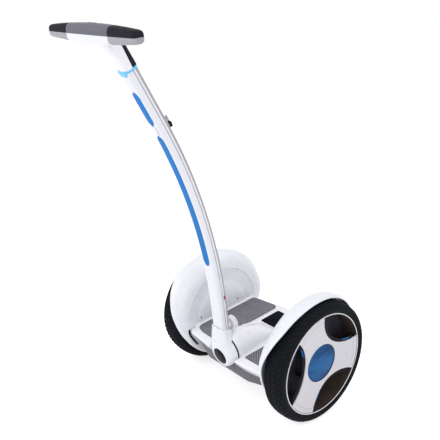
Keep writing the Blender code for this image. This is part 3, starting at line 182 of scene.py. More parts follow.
# Each look: its material and the slot of the record that it stands for
LOOKS = {
    "white": (surface("white_shell", (0.79, 0.805, 0.86), 0.28, coat=0.25, vary=0.006,
        grain=0.04, grain_size=420.0), "white_gloss"),
    # Lighter copy of the white shell: painted light on the deck, the fillets along its edges, the neck and
    # the joint boot behind the nose.
    "white_painted_light": (surface("bright_shell", (0.87, 0.875, 0.92), 0.3, coat=0.2, vary=0.006,
        grain=0.04, grain_size=420.0), "white_gloss"),
    "grey": (surface("grey_shell", (0.155, 0.15, 0.17), 0.5, shine=0.2,
        grain=0.35, grain_size=1300.0), "shell_grey"),
    "mat": (surface("mat_rubber", (0.132, 0.128, 0.150), 0.8, shine=0.2, vary=0.09, patch=60.0,
        grain=0.5, grain_size=900.0), "foot_mat"),
    # Lighter copy of the mat rubber for the raised ribs: painted light on their tops.
    "rib": (surface("mat_rib", (0.250, 0.243, 0.275), 0.7, shine=0.2, vary=0.09, patch=60.0,
        grain=0.4, grain_size=900.0), "foot_mat"),
    "gloss": (surface("gloss_black", (0.012, 0.014, 0.020), 0.25, shine=0.1, vary=0.1), "panel_black"),
    "glass": (surface("panel_glass", (0.006, 0.007, 0.010), 0.4, shine=0.012, vary=0.1), "panel_black"),
    "window": (surface("panel_window", (0.007, 0.008, 0.012), 0.35, shine=0.05, vary=0.1), "panel_black"),
    # Near-black painted shade for gaps and grooves in shadow, and for the plate that shows as a dark band in
    # the wheel openings.
    "seam": (surface("seam_shadow", (0.012, 0.012, 0.015), 0.7, shine=0.1, vary=0.1, grain=0.2),
        "panel_black"),
    # Brown-grey for seams; in the pole's front seam it is partly the core seen through the gap and partly
    # painted shade in the groove.
    "line": (surface("seam_line", (0.56, 0.50, 0.53), 0.6, shine=0.3, vary=0.1, grain=0.2), "panel_black"),
    "tyre": (surface("tyre_rubber", (0.0075, 0.0088, 0.0115), 0.75, shine=0.08, vary=0.14, patch=35.0,
        grain=0.45, grain_size=650.0), "tyre_rubber"),
    "rim": (surface("rim_paint", (0.036, 0.034, 0.048), 0.55, shine=0.2, vary=0.08, grain=0.15), "rim_dark"),
    # Brown tint of the rim's inner barrel: painted reflection of the surroundings in its dark gloss, seen
    # through the cover's openings.
    "bed_painted_reflection": (surface("rim_bed", (0.056, 0.042, 0.034), 0.55, shine=0.2, vary=0.12, grain=0.15), "rim_dark"),
    "pearl": (surface("pearl_cover", (0.605, 0.59, 0.632), 0.3, coat=0.3, vary=0.005, patch=18.0,
        grain=0.02, grain_size=1400.0), "cover_pearl"),
    # Paler copy of the pearl cover, used on the rim's lip as a painted highlight.
    "ring": (surface("pearl_painted_highlight", (0.82, 0.81, 0.86), 0.28, coat=0.3, vary=0.01), "cover_pearl"),
    "cap": (surface("cap_blue", (0.005, 0.058, 0.205), 0.3, shine=0.06, vary=0.3, patch=13.0,
        stretch=(1.0, 0.5, 1.6), tint=(0.022, 0.122, 0.325)), "accent_blue"),
    # Darker copy of the cap's blue for the thin wall round the cap: painted shade in the recess between the
    # cap and the cover.
    "sleeve_painted_shade": (surface("cap_sleeve", (0.008, 0.024, 0.075), 0.35, shine=0.1, vary=0.15), "accent_blue"),
    "stripe": (surface("stripe_blue", (0.006, 0.188, 0.575), 0.4, shine=0.08, vary=0.08, patch=14.0),
        "accent_blue"),
    "cyan": (surface("collar_blue", (0.14, 0.58, 0.92), 0.32, coat=0.1), "accent_blue"),
    "grip": (surface("grip_skin", (0.015, 0.017, 0.023), 0.65, shine=0.08, vary=0.1, patch=50.0,
        grain=0.6, grain_size=1100.0), "grip_black"),
    "bar": (surface("bar_top", (0.140, 0.137, 0.172), 0.45, shine=0.15, vary=0.04, grain=0.3,
        grain_size=1500.0, stretch=(0.25, 1.0, 1.0)), "bar_grey"),
    "rail": (surface("rail_grey", (0.40, 0.395, 0.43), 0.4, shine=0.35,
        grain=0.25, stretch=(1.0, 0.2, 0.2)), "bar_grey"),
    "plug": (surface("plug_grey", (0.34, 0.33, 0.365), 0.45, shine=0.3, vary=0.03), "pad_grey"),
    "pad": (surface("pad_skin", (0.38, 0.367, 0.402), 0.5, shine=0.3, vary=0.03,
        grain=0.35, grain_size=1200.0), "pad_grey"),
    "alloy": (surface("bare_alloy", (0.62, 0.61, 0.64), 0.32, metal=0.9, grain=0.2,
        grain_size=900.0, stretch=(0.3, 1.0, 1.0)), "alloy"),
    "knob": (surface("knob_satin", (0.88, 0.83, 0.88), 0.36, grain=0.2), "alloy"),
    "steel": (surface("dark_steel", (0.32, 0.32, 0.34), 0.35, metal=0.9, vary=0.08, grain=0.2), "steel"),
    "red": (surface("red_lens", (0.40, 0.012, 0.012), 0.15, coat=0.5, vary=0.12, patch=90.0), "signal_red"),
    "case": (surface("pack_case", (0.07, 0.08, 0.09), 0.6, vary=0.1, grain=0.3), "pack_case"),
}

# Mesh helpers
WELD = 1e-6
CAD_WELD = 2e-5
FLAT_ANGLE = radians(0.5)
BEVEL_SEGMENTS = 2
LONGEST_CORNER = 0.49  # share of a side that a rounded corner may take
# Degrees at which an edge shows as sharp, and at which a slab's edge is rounded
SHARP = 35.0
SOFT_SHARP = 40.0
SLAB_BEVEL_ANGLE = 50.0


def added(name, data):
    """New object in the scene."""
    obj = bpy.data.objects.new(name, data)
    bpy.context.scene.collection.objects.link(obj)
    return obj


def meshed(name, shape):
    """New object with the mesh of a bmesh, which is freed."""
    data = bpy.data.meshes.new(name)
    shape.to_mesh(data)
    shape.free()
    return added(name, data)


def placed(obj, look, body, stands_for, sharp):
    """Gives a piece its material, shading and body, and hides the nodes that it stands for."""
    made, slot = LOOKS[look]
    obj.data.materials.clear()
    obj.data.materials.append(made)
    obj.data.shade_smooth()
    obj.data.set_sharp_from_angle(angle=radians(sharp))
    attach(obj, body)
    if stands_for:
        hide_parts(*stands_for)


def edge_rounded(obj, bevel, bevel_angle):
    """Rounds the edges that are sharper than an angle, and keeps the result as the object's mesh."""
    step = obj.modifiers.new("edge", "BEVEL")
    step.width = bevel
    step.segments = BEVEL_SEGMENTS
    step.limit_method = "ANGLE"
    step.angle_limit = radians(bevel_angle)
    bpy.context.view_layer.update()
    graph = bpy.context.evaluated_depsgraph_get()
    rounded_data = bpy.data.meshes.new_from_object(obj.evaluated_get(graph))
    obj.modifiers.clear()
    obj.data = rounded_data


def from_shape(name, shape, look, body, stands_for, sharp, bevel, bevel_angle):
    """Piece from a bmesh: welded, turned outward, with its edges rounded where a bevel is given."""
    bmesh.ops.remove_doubles(shape, verts=shape.verts, dist=WELD)
    bmesh.ops.recalc_face_normals(shape, faces=shape.faces)
    obj = meshed(name, shape)
    if bevel:
        edge_rounded(obj, bevel, bevel_angle)
    placed(obj, look, body, stands_for, sharp)


def built(name, verts, faces, look, body, stands_for=(), sharp=SHARP, bevel=0.0, bevel_angle=40.0):
    """Piece from points and from faces that list them."""
    shape = bmesh.new()
    points = [shape.verts.new(v) for v in verts]
    for face in faces:
        shape.faces.new([points[i] for i in face])
    from_shape(name, shape, look, body, stands_for, sharp, bevel, bevel_angle)


def skinned(name, rings, look, body, stands_for=(), sharp=SHARP, bevel=0.0, bevel_angle=40.0, wrap=False):
    """Piece whose skin runs over rings of equal length, joined end to end or capped."""
    count = len(rings[0])
    verts = [p for ring in rings for p in ring]
    faces = []
    for i in range(len(rings) if wrap else len(rings) - 1):
        a = i * count
        b = (i + 1) % len(rings) * count
        for j in range(count):
            k = (j + 1) % count
            faces.append((a + j, a + k, b + k, b + j))
    if not wrap:
        faces.append(tuple(range(count))[::-1])
        faces.append(tuple(range(len(verts) - count, len(verts))))
    built(name, verts, faces, look, body, stands_for, sharp, bevel, bevel_angle)


def lathe(name, profile, place, look, body, stands_for=(), steps=96):
    """Closed profile of (radius, height) turned about the local Z of a matrix."""
    rings = []
    for i in range(steps):
        a = FULL * i / steps
        rings.append([place @ Vector((r * cos(a), r * sin(a), h)) for r, h in profile])
    skinned(name, rings, look, body, stands_for, wrap=True)


def rounded(points, radius, steps=4):
    """Closed outline with its corners rounded."""
    out = []
    count = len(points)
    for i in range(count):
        here = Vector(points[i])
        before = Vector(points[i - 1]) - here
        after = Vector(points[(i + 1) % count]) - here
        reach = min(radius, before.length * LONGEST_CORNER, after.length * LONGEST_CORNER)
        a = here + before.normalized() * reach
        b = here + after.normalized() * reach
        for k in range(steps + 1):
            t = k / steps
            p = a * (1 - t) ** 2 + here * 2 * t * (1 - t) + b * t ** 2
            out.append(tuple(p))
    return out


def both_sides(half):
    """Closed outline from its half at x >= 0."""
    return half + [(-x, y) for x, y in reversed(half) if x > 0]


def slab(name, outline, low, high, place, look, body, stands_for=(), bevel=0.0):
    """Flat piece over an outline in local XY between two heights."""
    rings = [[place @ Vector((x, y, z)) for x, y in outline] for z in (low, high)]
    skinned(name, rings, look, body, stands_for, SHARP, bevel, SLAB_BEVEL_ANGLE)


def refined(node, look, body, bevel, bevel_angle, sharp=38.0):
    """Copy of a CAD node with its split corners joined, flat faces merged and edges rounded."""
    shape = bmesh.new()
    shape.from_mesh(nodes[node].data)
    bmesh.ops.remove_doubles(shape, verts=shape.verts, dist=CAD_WELD)
    bmesh.ops.dissolve_limit(shape, angle_limit=FLAT_ANGLE, verts=shape.verts, edges=shape.edges)
    from_shape(node + ".shown", shape, look, body, (node,), sharp, bevel, bevel_angle)


def kept(node, look):
    """A CAD node that stays, with a better material."""
    data = nodes[node].data
    data.materials.clear()
    data.materials.append(LOOKS[look][0])


def between(p0, p1, p2, p3, t):
    """Catmull-Rom curve from p1 to p2."""
    return 0.5 * (2 * p1 + (p2 - p0) * t + (2 * p0 - 5 * p1 + 4 * p2 - p3) * t ** 2
                  + (3 * p1 - p0 - 3 * p2 + p3) * t ** 3)


def through(rows, value):
    """Smooth curve through rows of numbers, read at a value of their first column."""
    last = len(rows) - 2
    i = next((k for k in range(last) if value <= rows[k + 1][0]), last)
    before, a, b, after = rows[max(0, i - 1)], rows[i], rows[i + 1], rows[min(last + 1, i + 2)]
    t = (value - a[0]) / (b[0] - a[0])
    return [between(*four, t) for four in zip(before[1:], a[1:], b[1:], after[1:])]


# Tyres: half a section as (radius, distance from the centre plane, 1 where the tread's grooves cut in)
TREAD_RADIUS = 0.1988
PITCHES = 64
GROOVE = 0.0021
TREAD_SKEW = 1.15
COLUMNS = ((0.0, 0.0), (0.64, 0.0), (0.72, 1.0), (0.92, 1.0))  # share of a pitch, share of the groove
TYRE_SHARP = 28.0
TYRE_LINE = (
    (0.1656, 0.0310, 0), (0.1680, 0.0312, 0), (0.1693, 0.0352, 0), (0.1715, 0.0366, 0), (0.1725, 0.0374, 0),
    (0.1770, 0.0384, 0), (0.1800, 0.0386, 0), (0.1806, 0.0380, 0), (0.1818, 0.0380, 0), (0.1825, 0.0384, 0),
    (0.1860, 0.0374, 0), (0.1895, 0.0352, 0), (0.1903, 0.0346, 1), (0.1928, 0.0320, 1), (0.1951, 0.0285, 1),
    (0.1966, 0.0235, 1), (0.1974, 0.0190, 1), (0.1962, 0.0182, 0), (0.1962, 0.0162, 0), (0.1979, 0.0154, 1),
    (0.1985, 0.0095, 1), (0.1987, 0.0030, 1), (0.1970, 0.0021, 0),
)

# Wheel sections as (radius, distance outward from the centre plane)
RIM_LIP = (
    (0.1643, 0.03), (0.1643, 0.035), (0.165, 0.0357), (0.1665, 0.0357), (0.1673, 0.035),
    (0.1673, 0.0312), (0.166, 0.03),
)
RIM_BED = (
    (0.1632, 0.0345), (0.1643, 0.0345), (0.165, 0.03), (0.165, -0.031), (0.1655, -0.0335),
    (0.1632, -0.0335), (0.1632, -0.006), (0.1632, 0.0),
)
RIM_WEB = (
    (0.0126, -0.033), (0.163, -0.033), (0.163, -0.027), (0.1605, -0.0285), (0.131, -0.029),
    (0.129, -0.028), (0.098, -0.028), (0.096, -0.029), (0.072, -0.029), (0.068, -0.025),
    (0.068, 0.015), (0.062, 0.015), (0.062, -0.029), (0.0126, -0.029),
)
RIM_STEPS = 128
CAP_LINE = (
    (0.0, 0.0264), (0.018, 0.0262), (0.034, 0.0257), (0.048, 0.025), (0.058, 0.0242), (0.0615, 0.0237),
    (0.0625, 0.0229), (0.0625, 0.0153), (0.0, 0.0153),
)
CAP_SLEEVE = ((0.0627, 0.0155), (0.0631, 0.0155), (0.0631, 0.0254), (0.0627, 0.0254))

# Wheel cover: its face, and three openings, each cut by an arc about a centre outside the cover
COVER_BORE = 0.0631
COVER_EDGE = 0.1629
COVER_LINE = (
    (COVER_BORE, 0.0256), (0.064, 0.026), (0.1462, 0.0333), (0.1472, 0.0322), (0.1484, 0.0322),
    (0.1492, 0.0342), (COVER_EDGE, 0.0342),
)
COVER_WALL = 0.003
COVER_BEVEL = 0.0006
COVER_BEVEL_ANGLE = 55.0
COVER_SHARP = 30.0
OPENING_ARC = 0.13
OPENING_OFFSET = 0.207
OPENING_ANGLES = (35.5, 155.5, 275.5)
OPENING_PITCH = 120.0
SPOKE_COLUMNS = 30
ARC_ROWS = 18
HUB_ROWS = 5
CLOSEST_ROWS = 2e-5

# Plate behind the cover, near-black with painted shade, seen as a dark band inside each opening, and the blue
# line on it
ACCENT_ARC = OPENING_ARC - 0.0115
ACCENT_TURN = 1.2
ACCENT_WALL = 0.0012
ACCENT_BORE = 0.066
ACCENT_EDGE = 0.148
ACCENT_LINE = tuple((r, h - COVER_WALL - 0.0006) for r, h in ((COVER_BORE, 0.0258), (0.149, 0.0331)))
BLUE_HALF = 0.0016
BLUE_GAP = 0.001
BLUE_TIP = 0.00005
BLUE_LOW = -0.0004
BLUE_HIGH = 0.0006
BLUE_SPAN = (21.0, 38.0)
BLUE_STEPS = 16


def height_on(line, r):
    """Height of a face of (radius, height) points at a radius."""
    for (r0, h0), (r1, h1) in zip(line, line[1:]):
        if r <= r1:
            return h0 + (h1 - h0) * (r - r0) / (r1 - r0)
    return line[-1][1]


def opening_half(r, arc):
    """Half of the angle that an opening takes at a radius."""
    if r <= OPENING_OFFSET - arc:
        return 0.0
    return acos((r * r + OPENING_OFFSET ** 2 - arc ** 2) / (2 * r * OPENING_OFFSET))


def arc_radii(arc, inner, outer, extra=()):
    """Radii of the rows of a spoked plate, close together where an opening begins."""
    out = set(extra)
    reach = acos((OPENING_OFFSET ** 2 + arc ** 2 - outer ** 2) / (2 * OPENING_OFFSET * arc))
    for i in range(ARC_ROWS):
        b = reach * i / ARC_ROWS
        out.add(sqrt(OPENING_OFFSET ** 2 + arc ** 2 - 2 * OPENING_OFFSET * arc * cos(b)))
    gap = OPENING_OFFSET - arc - inner
    for i in range(HUB_ROWS):
        out.add(inner + gap * i / HUB_ROWS)
    out.add(outer)
    found = sorted(out)
    return [r for i, r in enumerate(found) if i == 0 or r - found[i - 1] > CLOSEST_ROWS]


def spoke(shape, line, arc, start, radii):
    """Face between two openings, in rows from the hub to the edge."""
    end = start + radians(OPENING_PITCH)
    rows = []
    for r in radii:
        half = opening_half(r, arc)
        row = []
        for c in range(SPOKE_COLUMNS + 1):
            a = start + half + (end - start - 2 * half) * c / SPOKE_COLUMNS
            row.append(shape.verts.new((r * cos(a), r * sin(a), height_on(line, r))))
        rows.append(row)
    for low, high in zip(rows, rows[1:]):
        for c in range(SPOKE_COLUMNS):
            shape.faces.new((low[c], low[c + 1], high[c + 1], high[c]))


def spoked(name, place, line, wall, arc, turn, radii, look, body, stands_for, bevel=0.0):
    """Dished plate with three openings."""
    shape = bmesh.new()
    for angle in OPENING_ANGLES:
        spoke(shape, line, arc, radians(angle + turn), radii)
    bmesh.ops.remove_doubles(shape, verts=shape.verts, dist=WELD)
    bmesh.ops.recalc_face_normals(shape, faces=shape.faces)
    if sum(f.normal.z for f in shape.faces) < 0:
        bmesh.ops.reverse_faces(shape, faces=shape.faces)
    bmesh.ops.solidify(shape, geom=shape.faces[:], thickness=wall)
    shape.transform(place)
    from_shape(name, shape, look, body, stands_for, COVER_SHARP, bevel, COVER_BEVEL_ANGLE)


def tyre(side, body, place):
    """Tyre with slanted grooves cut into its tread."""
    line = list(TYRE_LINE) + [(r, -h, tread) for r, h, tread in reversed(TYRE_LINE)]
    rings = []
    for i in range(PITCHES):
        for share, groove in COLUMNS:
            angle = FULL * (i + share) / PITCHES
            ring = []
            for r, h, tread in line:
                a = angle + abs(h) / TREAD_RADIUS * TREAD_SKEW
                depth = GROOVE * groove if tread else 0.0
                ring.append(place @ Vector(((r - depth) * cos(a), (r - depth) * sin(a), h)))
            rings.append(ring)
    skinned("tyre_%s.shown" % side, rings, "tyre", body, ("tyre_" + side,), TYRE_SHARP, wrap=True)


def accent_lines(side, body, place):
    """Blue line at one end of each opening, tapering to both ends."""
    middle = ACCENT_ARC + BLUE_HALF + BLUE_GAP
    for number, angle in enumerate(OPENING_ANGLES):
        turned = place @ rotated(radians(angle + ACCENT_TURN), "Z")
        rings = []
        for i in range(BLUE_STEPS + 1):
            b = radians(BLUE_SPAN[0] + (BLUE_SPAN[1] - BLUE_SPAN[0]) * i / BLUE_STEPS)
            wide = BLUE_HALF * sin(pi * i / BLUE_STEPS) ** 0.5 + BLUE_TIP
            ring = []
            for out, up in ((-wide, BLUE_LOW), (-wide, BLUE_HIGH), (wide, BLUE_HIGH), (wide, BLUE_LOW)):
                x = OPENING_OFFSET - (middle + out) * cos(b)
                y = (middle + out) * sin(b)
                ring.append(turned @ Vector((x, y, height_on(ACCENT_LINE, hypot(x, y)) + up)))
            rings.append(ring)
        skinned("accent_line_%s_%d" % (side, number), rings, "stripe", body)


def wheel(side, sign):
    """Wheel in a frame with local X up and local Z outward."""
    body = "wheel_" + side
    turned = Matrix(((0, 0, sign, 0), (0, sign, 0, 0), (1, 0, 0, 0), (0, 0, 0, 1)))
    place = moved(sign * WHEEL_X, AXLE_Y, AXLE_Z) @ turned
    tyre(side, body, place)
    # The rim's lip takes the paler pearl, a painted highlight.
    lathe("rim_ring_" + side, RIM_LIP, place, "ring", body, ("rim_" + side,), RIM_STEPS)
    # The inner barrel takes the brown tint, a painted reflection.
    lathe("rim_bed_" + side, RIM_BED, place, "bed_painted_reflection", body, steps=RIM_STEPS)
    lathe("rim_web_" + side, RIM_WEB, place, "rim", body)
    radii = arc_radii(OPENING_ARC, COVER_BORE, COVER_EDGE, [r for r, h in COVER_LINE])
    spoked("wheel_cover_%s.shown" % side, place, COVER_LINE, COVER_WALL, OPENING_ARC, 0.0, radii, "pearl",
           body, ("wheel_cover_" + side,), COVER_BEVEL)
    radii = arc_radii(ACCENT_ARC, ACCENT_BORE, ACCENT_EDGE)
    # The plate takes the near-black of painted shade.
    spoked("accent_plate_%s.shown" % side, place, ACCENT_LINE, ACCENT_WALL, ACCENT_ARC, ACCENT_TURN, radii,
           "seam", body, ("accent_plate_" + side,))
    accent_lines(side, body, place)
    lathe("hub_cap_%s.shown" % side, CAP_LINE, place, "cap", body, ("hub_cap_" + side,))
    # The thin wall round the cap takes the darker blue, painted shade in the recess.
    lathe("cap_sleeve_" + side, CAP_SLEEVE, place, "sleeve_painted_shade", body)


for side, sign in SIDES:
    wheel(side, sign)

# Fenders
FENDER_IN = 0.188
FENDER_BACK = 0.194
FENDER_HUB = 0.108
FENDER_RECESS = FENDER_IN + 0.002
FENDER_RECESS_RADIUS = 0.156
FENDER_WALL = 0.0035
FENDER_STEPS = 144
FENDER_EDGE_SIZE = 0.0006
FENDER_SHARP = 30.0
SHOULDER_SPARE = 0.004  # kept between the recess and the start of the shoulder
SHOULDER_TURNS = range(0, 91, 10)
INNER_TURNS = range(90, 9, -16)
CROWN_SHARES = (0.2, 0.4, 0.6, 0.8, 0.95)
# Degrees from the top toward the front, then the edge's distance from the middle, the edge's radius, the
# crown's radius, the shoulder's drop and the share of the width that the shoulder takes
FENDER_EDGE = (
    (-190, 0.205, 0.1680, 0.1680, 0.038, 0.62), (-130, 0.205, 0.1680, 0.1680, 0.038, 0.62),
    (-105, 0.206, 0.1800, 0.1840, 0.038, 0.62), (-88, 0.216, 0.2000, 0.2070, 0.038, 0.62),
    (-70, 0.246, 0.2045, 0.2150, 0.038, 0.62), (-45, 0.2545, 0.2090, 0.2185, 0.038, 0.62),
    (-20, 0.261, 0.2095, 0.2145, 0.038, 0.62), (0, 0.2645, 0.2090, 0.2120, 0.042, 0.65),
    (20, 0.2635, 0.2110, 0.2143, 0.050, 0.76), (40, 0.259, 0.2175, 0.2193, 0.065, 0.93),
    (55, 0.244, 0.2190, 0.2193, 0.066, 0.96), (65, 0.2305, 0.2150, 0.2153, 0.060, 0.96),
    (75, 0.2195, 0.2080, 0.2083, 0.052, 0.96), (85, 0.2130, 0.1955, 0.1965, 0.046, 0.94),
    (95, 0.2080, 0.1850, 0.1868, 0.042, 0.90), (110, 0.205, 0.1740, 0.1750, 0.038, 0.80),
    (130, 0.205, 0.1680, 0.1685, 0.038, 0.62), (190, 0.205, 0.1680, 0.1680, 0.038, 0.62),
)
SCREW_SPOTS = ((-0.0994, 0.0127), (0.0734, 0.0142))
SCREW_HEAD = (
    (0.0, 0.0002), (0.002, 0.0002), (0.0024, 0.0006), (0.0028, 0.0006), (0.0032, 0.0), (0.0, -0.0006),
)
# Fillet between the deck and the fender, as (distance from the middle, height over the deck), and its
# stations from front to back, where the first and the last are lower
DECK_RIM = (
    (0.182, -0.0006), (0.182, 0.0004), (0.1838, 0.0008), (0.1856, 0.002), (0.187, 0.0038),
    (0.1878, 0.006), (0.1904, 0.006), (0.1904, -0.0006),
)
DECK_RIM_AT = (-0.13, -0.124, -0.1, -0.05, 0.0, 0.05, 0.1, 0.148, 0.152)
DECK_RIM_END = 0.35
DECK_RIM_SHARP = 60.0
# Dark strip of painted shadow in the gap at the deck's front corner, on the fender's inner face, in (y, z)
DECK_GAP_SHADOW = (
    (-0.1607, -0.0116), (-0.1612, -0.025), (-0.1578, -0.0388), (-0.1447, -0.064), (-0.127, -0.0879),
    (-0.123, -0.085), (-0.1385, -0.06), (-0.15, -0.037), (-0.1525, -0.025), (-0.153, -0.0116),
)
DECK_GAP_SHADOW_SPAN = (FENDER_IN - 0.0012, FENDER_IN + 0.0004)
rear_limit = cad_box[1][1] - 1e-5


def fender_face(base):
    """(radius, distance from the middle) over the round inner disc, out to the shoulder."""
    return [
        (FENDER_HUB, FENDER_IN), (FENDER_HUB + 0.0008, FENDER_IN + 0.0002),
        (FENDER_HUB + 0.0018, FENDER_RECESS), (FENDER_RECESS_RADIUS - 0.0015, FENDER_RECESS),
        (FENDER_RECESS_RADIUS, FENDER_RECESS - FENDER_EDGE_SIZE), (FENDER_RECESS_RADIUS + 0.0015, FENDER_IN),
        (base - 2 * FENDER_EDGE_SIZE, FENDER_IN), (base - FENDER_EDGE_SIZE, FENDER_IN + FENDER_EDGE_SIZE),
    ]


def quarter_round(turns, low, high, near, far):
    """Quarter of an ellipse from (low, near) to (high, far), at turns in degrees."""
    angles = [radians(turn) for turn in turns]
    return [(low + (high - low) * sin(t), near + (far - near) * (1 - cos(t))) for t in angles]


def fender_section(angle):
    """(radius, distance from the middle) round a fender's wall at an angle from its top toward the back."""
    forward = -degrees(angle if angle <= pi else angle - FULL)
    lip, lip_radius, crown, drop, share = through(FENDER_EDGE, forward)
    lip_radius = min(lip_radius, crown - 0.0002)
    base = crown - min(drop, crown - FENDER_RECESS_RADIUS - SHOULDER_SPARE)
    crown_x = FENDER_IN + (lip - FENDER_IN) * share
    line = fender_face(base)
    line += quarter_round(SHOULDER_TURNS, base, crown, FENDER_IN, crown_x)
    for part in CROWN_SHARES:
        line.append((crown - (crown - lip_radius) * part ** 2, crown_x + (lip - crown_x) * part))
    lip_in = lip_radius - FENDER_WALL
    line += [(lip_radius - 0.0009, lip), (lip_in + FENDER_EDGE_SIZE, lip), (lip_in, lip - FENDER_EDGE_SIZE)]
    inside = crown - FENDER_WALL
    inner_x = max(FENDER_BACK + 0.0005, crown_x - 0.0010)
    line.append((lip_in + (inside - lip_radius + FENDER_WALL) * 0.7, (lip + inner_x) / 2))
    line += quarter_round(INNER_TURNS, base, inside, FENDER_BACK, inner_x)
    line.append((FENDER_HUB, FENDER_BACK))
    return line


def fender(side, sign):
    """Visor fender: its sections round the axle, closed by a fan on each face of the hub."""
    sections = [fender_section(FULL * i / FENDER_STEPS) for i in range(FENDER_STEPS)]
    count = len(sections[0])
    verts = []
    for i, section in enumerate(sections):
        angle = FULL * i / FENDER_STEPS
        for r, x in section:
            p = CHASSIS @ Vector((sign * x, r * sin(angle), r * cos(angle)))
            verts.append(Vector((p.x, min(p.y, rear_limit), p.z)))
    for x in (FENDER_IN, FENDER_BACK):
        verts.append(CHASSIS @ Vector((sign * x, 0.0, 0.0)))
    front = len(verts) - 2
    back = len(verts) - 1
    faces = []
    for i in range(FENDER_STEPS):
        a = i * count
        b = (i + 1) % FENDER_STEPS * count
        for j in range(count - 1):
            faces.append((a + j, a + j + 1, b + j + 1, b + j))
        faces.append((front, a, b))
        faces.append((back, b + count - 1, a + count - 1))
    built("fender_%s.shown" % side, verts, faces, "white", "chassis", ("fender_" + side,), FENDER_SHARP)


def fender_trim(side, sign):
    """Screws in the inner face, the fillet along the deck, whose lighter white is painted light, and a dark
    strip of painted shadow in the gap at its front corner.
    """
    facing = rotated(-sign * QUARTER, "Y")
    for number, (y, z) in enumerate(SCREW_SPOTS):
        seat = CHASSIS @ moved(sign * FENDER_IN, y, z) @ facing
        lathe("fender_screw_%s_%d" % (side, number), SCREW_HEAD, seat, "rim", "chassis", steps=20)
    rings = []
    for y in DECK_RIM_AT:
        fade = DECK_RIM_END if y in (DECK_RIM_AT[0], DECK_RIM_AT[-1]) else 1.0
        rings.append([CHASSIS @ Vector((sign * x, y, DECK_TOP + z * fade)) for x, z in DECK_RIM])
    # The fillet takes the lighter copy of the white shell, as painted light along the deck's edge.
    skinned("deck_rim_" + side, rings, "white_painted_light", "chassis", sharp=DECK_RIM_SHARP)
    # A dark strip of painted shadow in the gap between the deck and the fender.
    low, high = sorted(sign * x for x in DECK_GAP_SHADOW_SPAN)
    gap_shadow = rounded(DECK_GAP_SHADOW, 0.003, 3)
    slab("deck_gap_shadow_" + side, gap_shadow, low, high, CHASSIS @ ACROSS, "seam", "chassis", bevel=0.0003)


for side, sign in SIDES:
    fender(side, sign)
    fender_trim(side, sign)

# Deck, mats and panel
# The deck cover takes the lighter copy of the white shell, as painted light.
refined("deck_cover", "white_painted_light", "chassis", 0.0009, 45.0, 34.0)
refined("lower_shell", "grey", "chassis", 0.0009, 45.0)
MAT_HALF = (
    (0.0655, 0.14), (0.0655, 0.022), (0.07, 0.006), (0.075, -0.006), (0.073, -0.08), (0.0715, -0.128),
    (0.076, -0.1365), (0.14, -0.1345), (0.172, -0.125), (0.1815, -0.108), (0.1815, 0.143), (0.174, 0.149),
    (0.134, 0.1545), (0.09, 0.16), (0.076, 0.158), (0.069, 0.151),
)
MAT_LOW = DECK_TOP - 0.0012
MAT_TOP = DECK_TOP + 0.0004
MAT_CORNER = 0.005
MAT_SHARP = 20.0
RIB_PITCH = 0.0075
RIB_HALF = 0.0021
RIB_EDGE = 0.0035
RIB_LOW = 0.0002
RELIEF_TOP = 0.001
RELIEF_SLOPE = 0.0006
TOOTH_X = 0.059
TOOTH_HALF = (0.0045, 0.0012)
TOOTH_LOW = -0.0002
TOOTH_NARROWING = 0.76
TOOTH_FIRST = 0.038
TOOTH_LAST = 0.144
TOOTH_PITCH = 0.0052


def rib_spans(outline, along, offset):
    """Stretches of a line across an outline, as pairs of distances along it."""
    across = Vector((-along.y, along.x))
    hits = []
    for p, q in zip(outline, outline[1:] + outline[:1]):
        a = Vector(p).dot(across) - offset
        b = Vector(q).dot(across) - offset
        if (a < 0) != (b < 0):
            t = a / (a - b)
            hits.append((Vector(p) + (Vector(q) - Vector(p)) * t).dot(along))
    hits.sort()
    return list(zip(hits[::2], hits[1::2]))


def rib_points(start, end, along, across, offset):
    """Eight corners of one rib, with sloped ends and sides."""
    low_start = start + RIB_EDGE
    low_end = end - RIB_EDGE
    top_half = RIB_HALF - RELIEF_SLOPE
    out = []
    for reach, half, z in (
        (low_start, RIB_HALF, RIB_LOW), (low_start + RELIEF_SLOPE, top_half, RELIEF_TOP),
        (low_end - RELIEF_SLOPE, top_half, RELIEF_TOP), (low_end, RIB_HALF, RIB_LOW),
    ):
        for edge in (-half, half):
            flat = along * reach + across * (offset + edge)
            out.append(CHASSIS @ Vector((flat.x, flat.y, DECK_TOP + z)))
    return out


def mat_ribs(side, sign, outline):
    """Ribs that run toward the middle at the front."""
    along = Vector((-sign, 1.0)).normalized()
    across = Vector((-along.y, along.x))
    reaches = [Vector(p).dot(across) for p in outline]
    verts = []
    faces = []
    offset = min(reaches) + RIB_PITCH
    while offset < max(reaches) - RIB_PITCH / 2:
        for start, end in rib_spans(outline, along, offset):
            if end - start > 4 * RIB_EDGE:
                a, b, c, d, e, f, g, h = range(len(verts), len(verts) + 8)
                verts += rib_points(start, end, along, across, offset)
                faces += [(a, b, d, c), (c, d, f, e), (e, f, h, g), (a, c, e, g), (b, h, f, d), (a, g, h, b)]
        offset += RIB_PITCH
    # The ribs take the lighter copy of the mat rubber, as painted light on their tops.
    built("foot_mat_%s.ribs" % side, verts, faces, "rib", "chassis", (), MAT_SHARP)


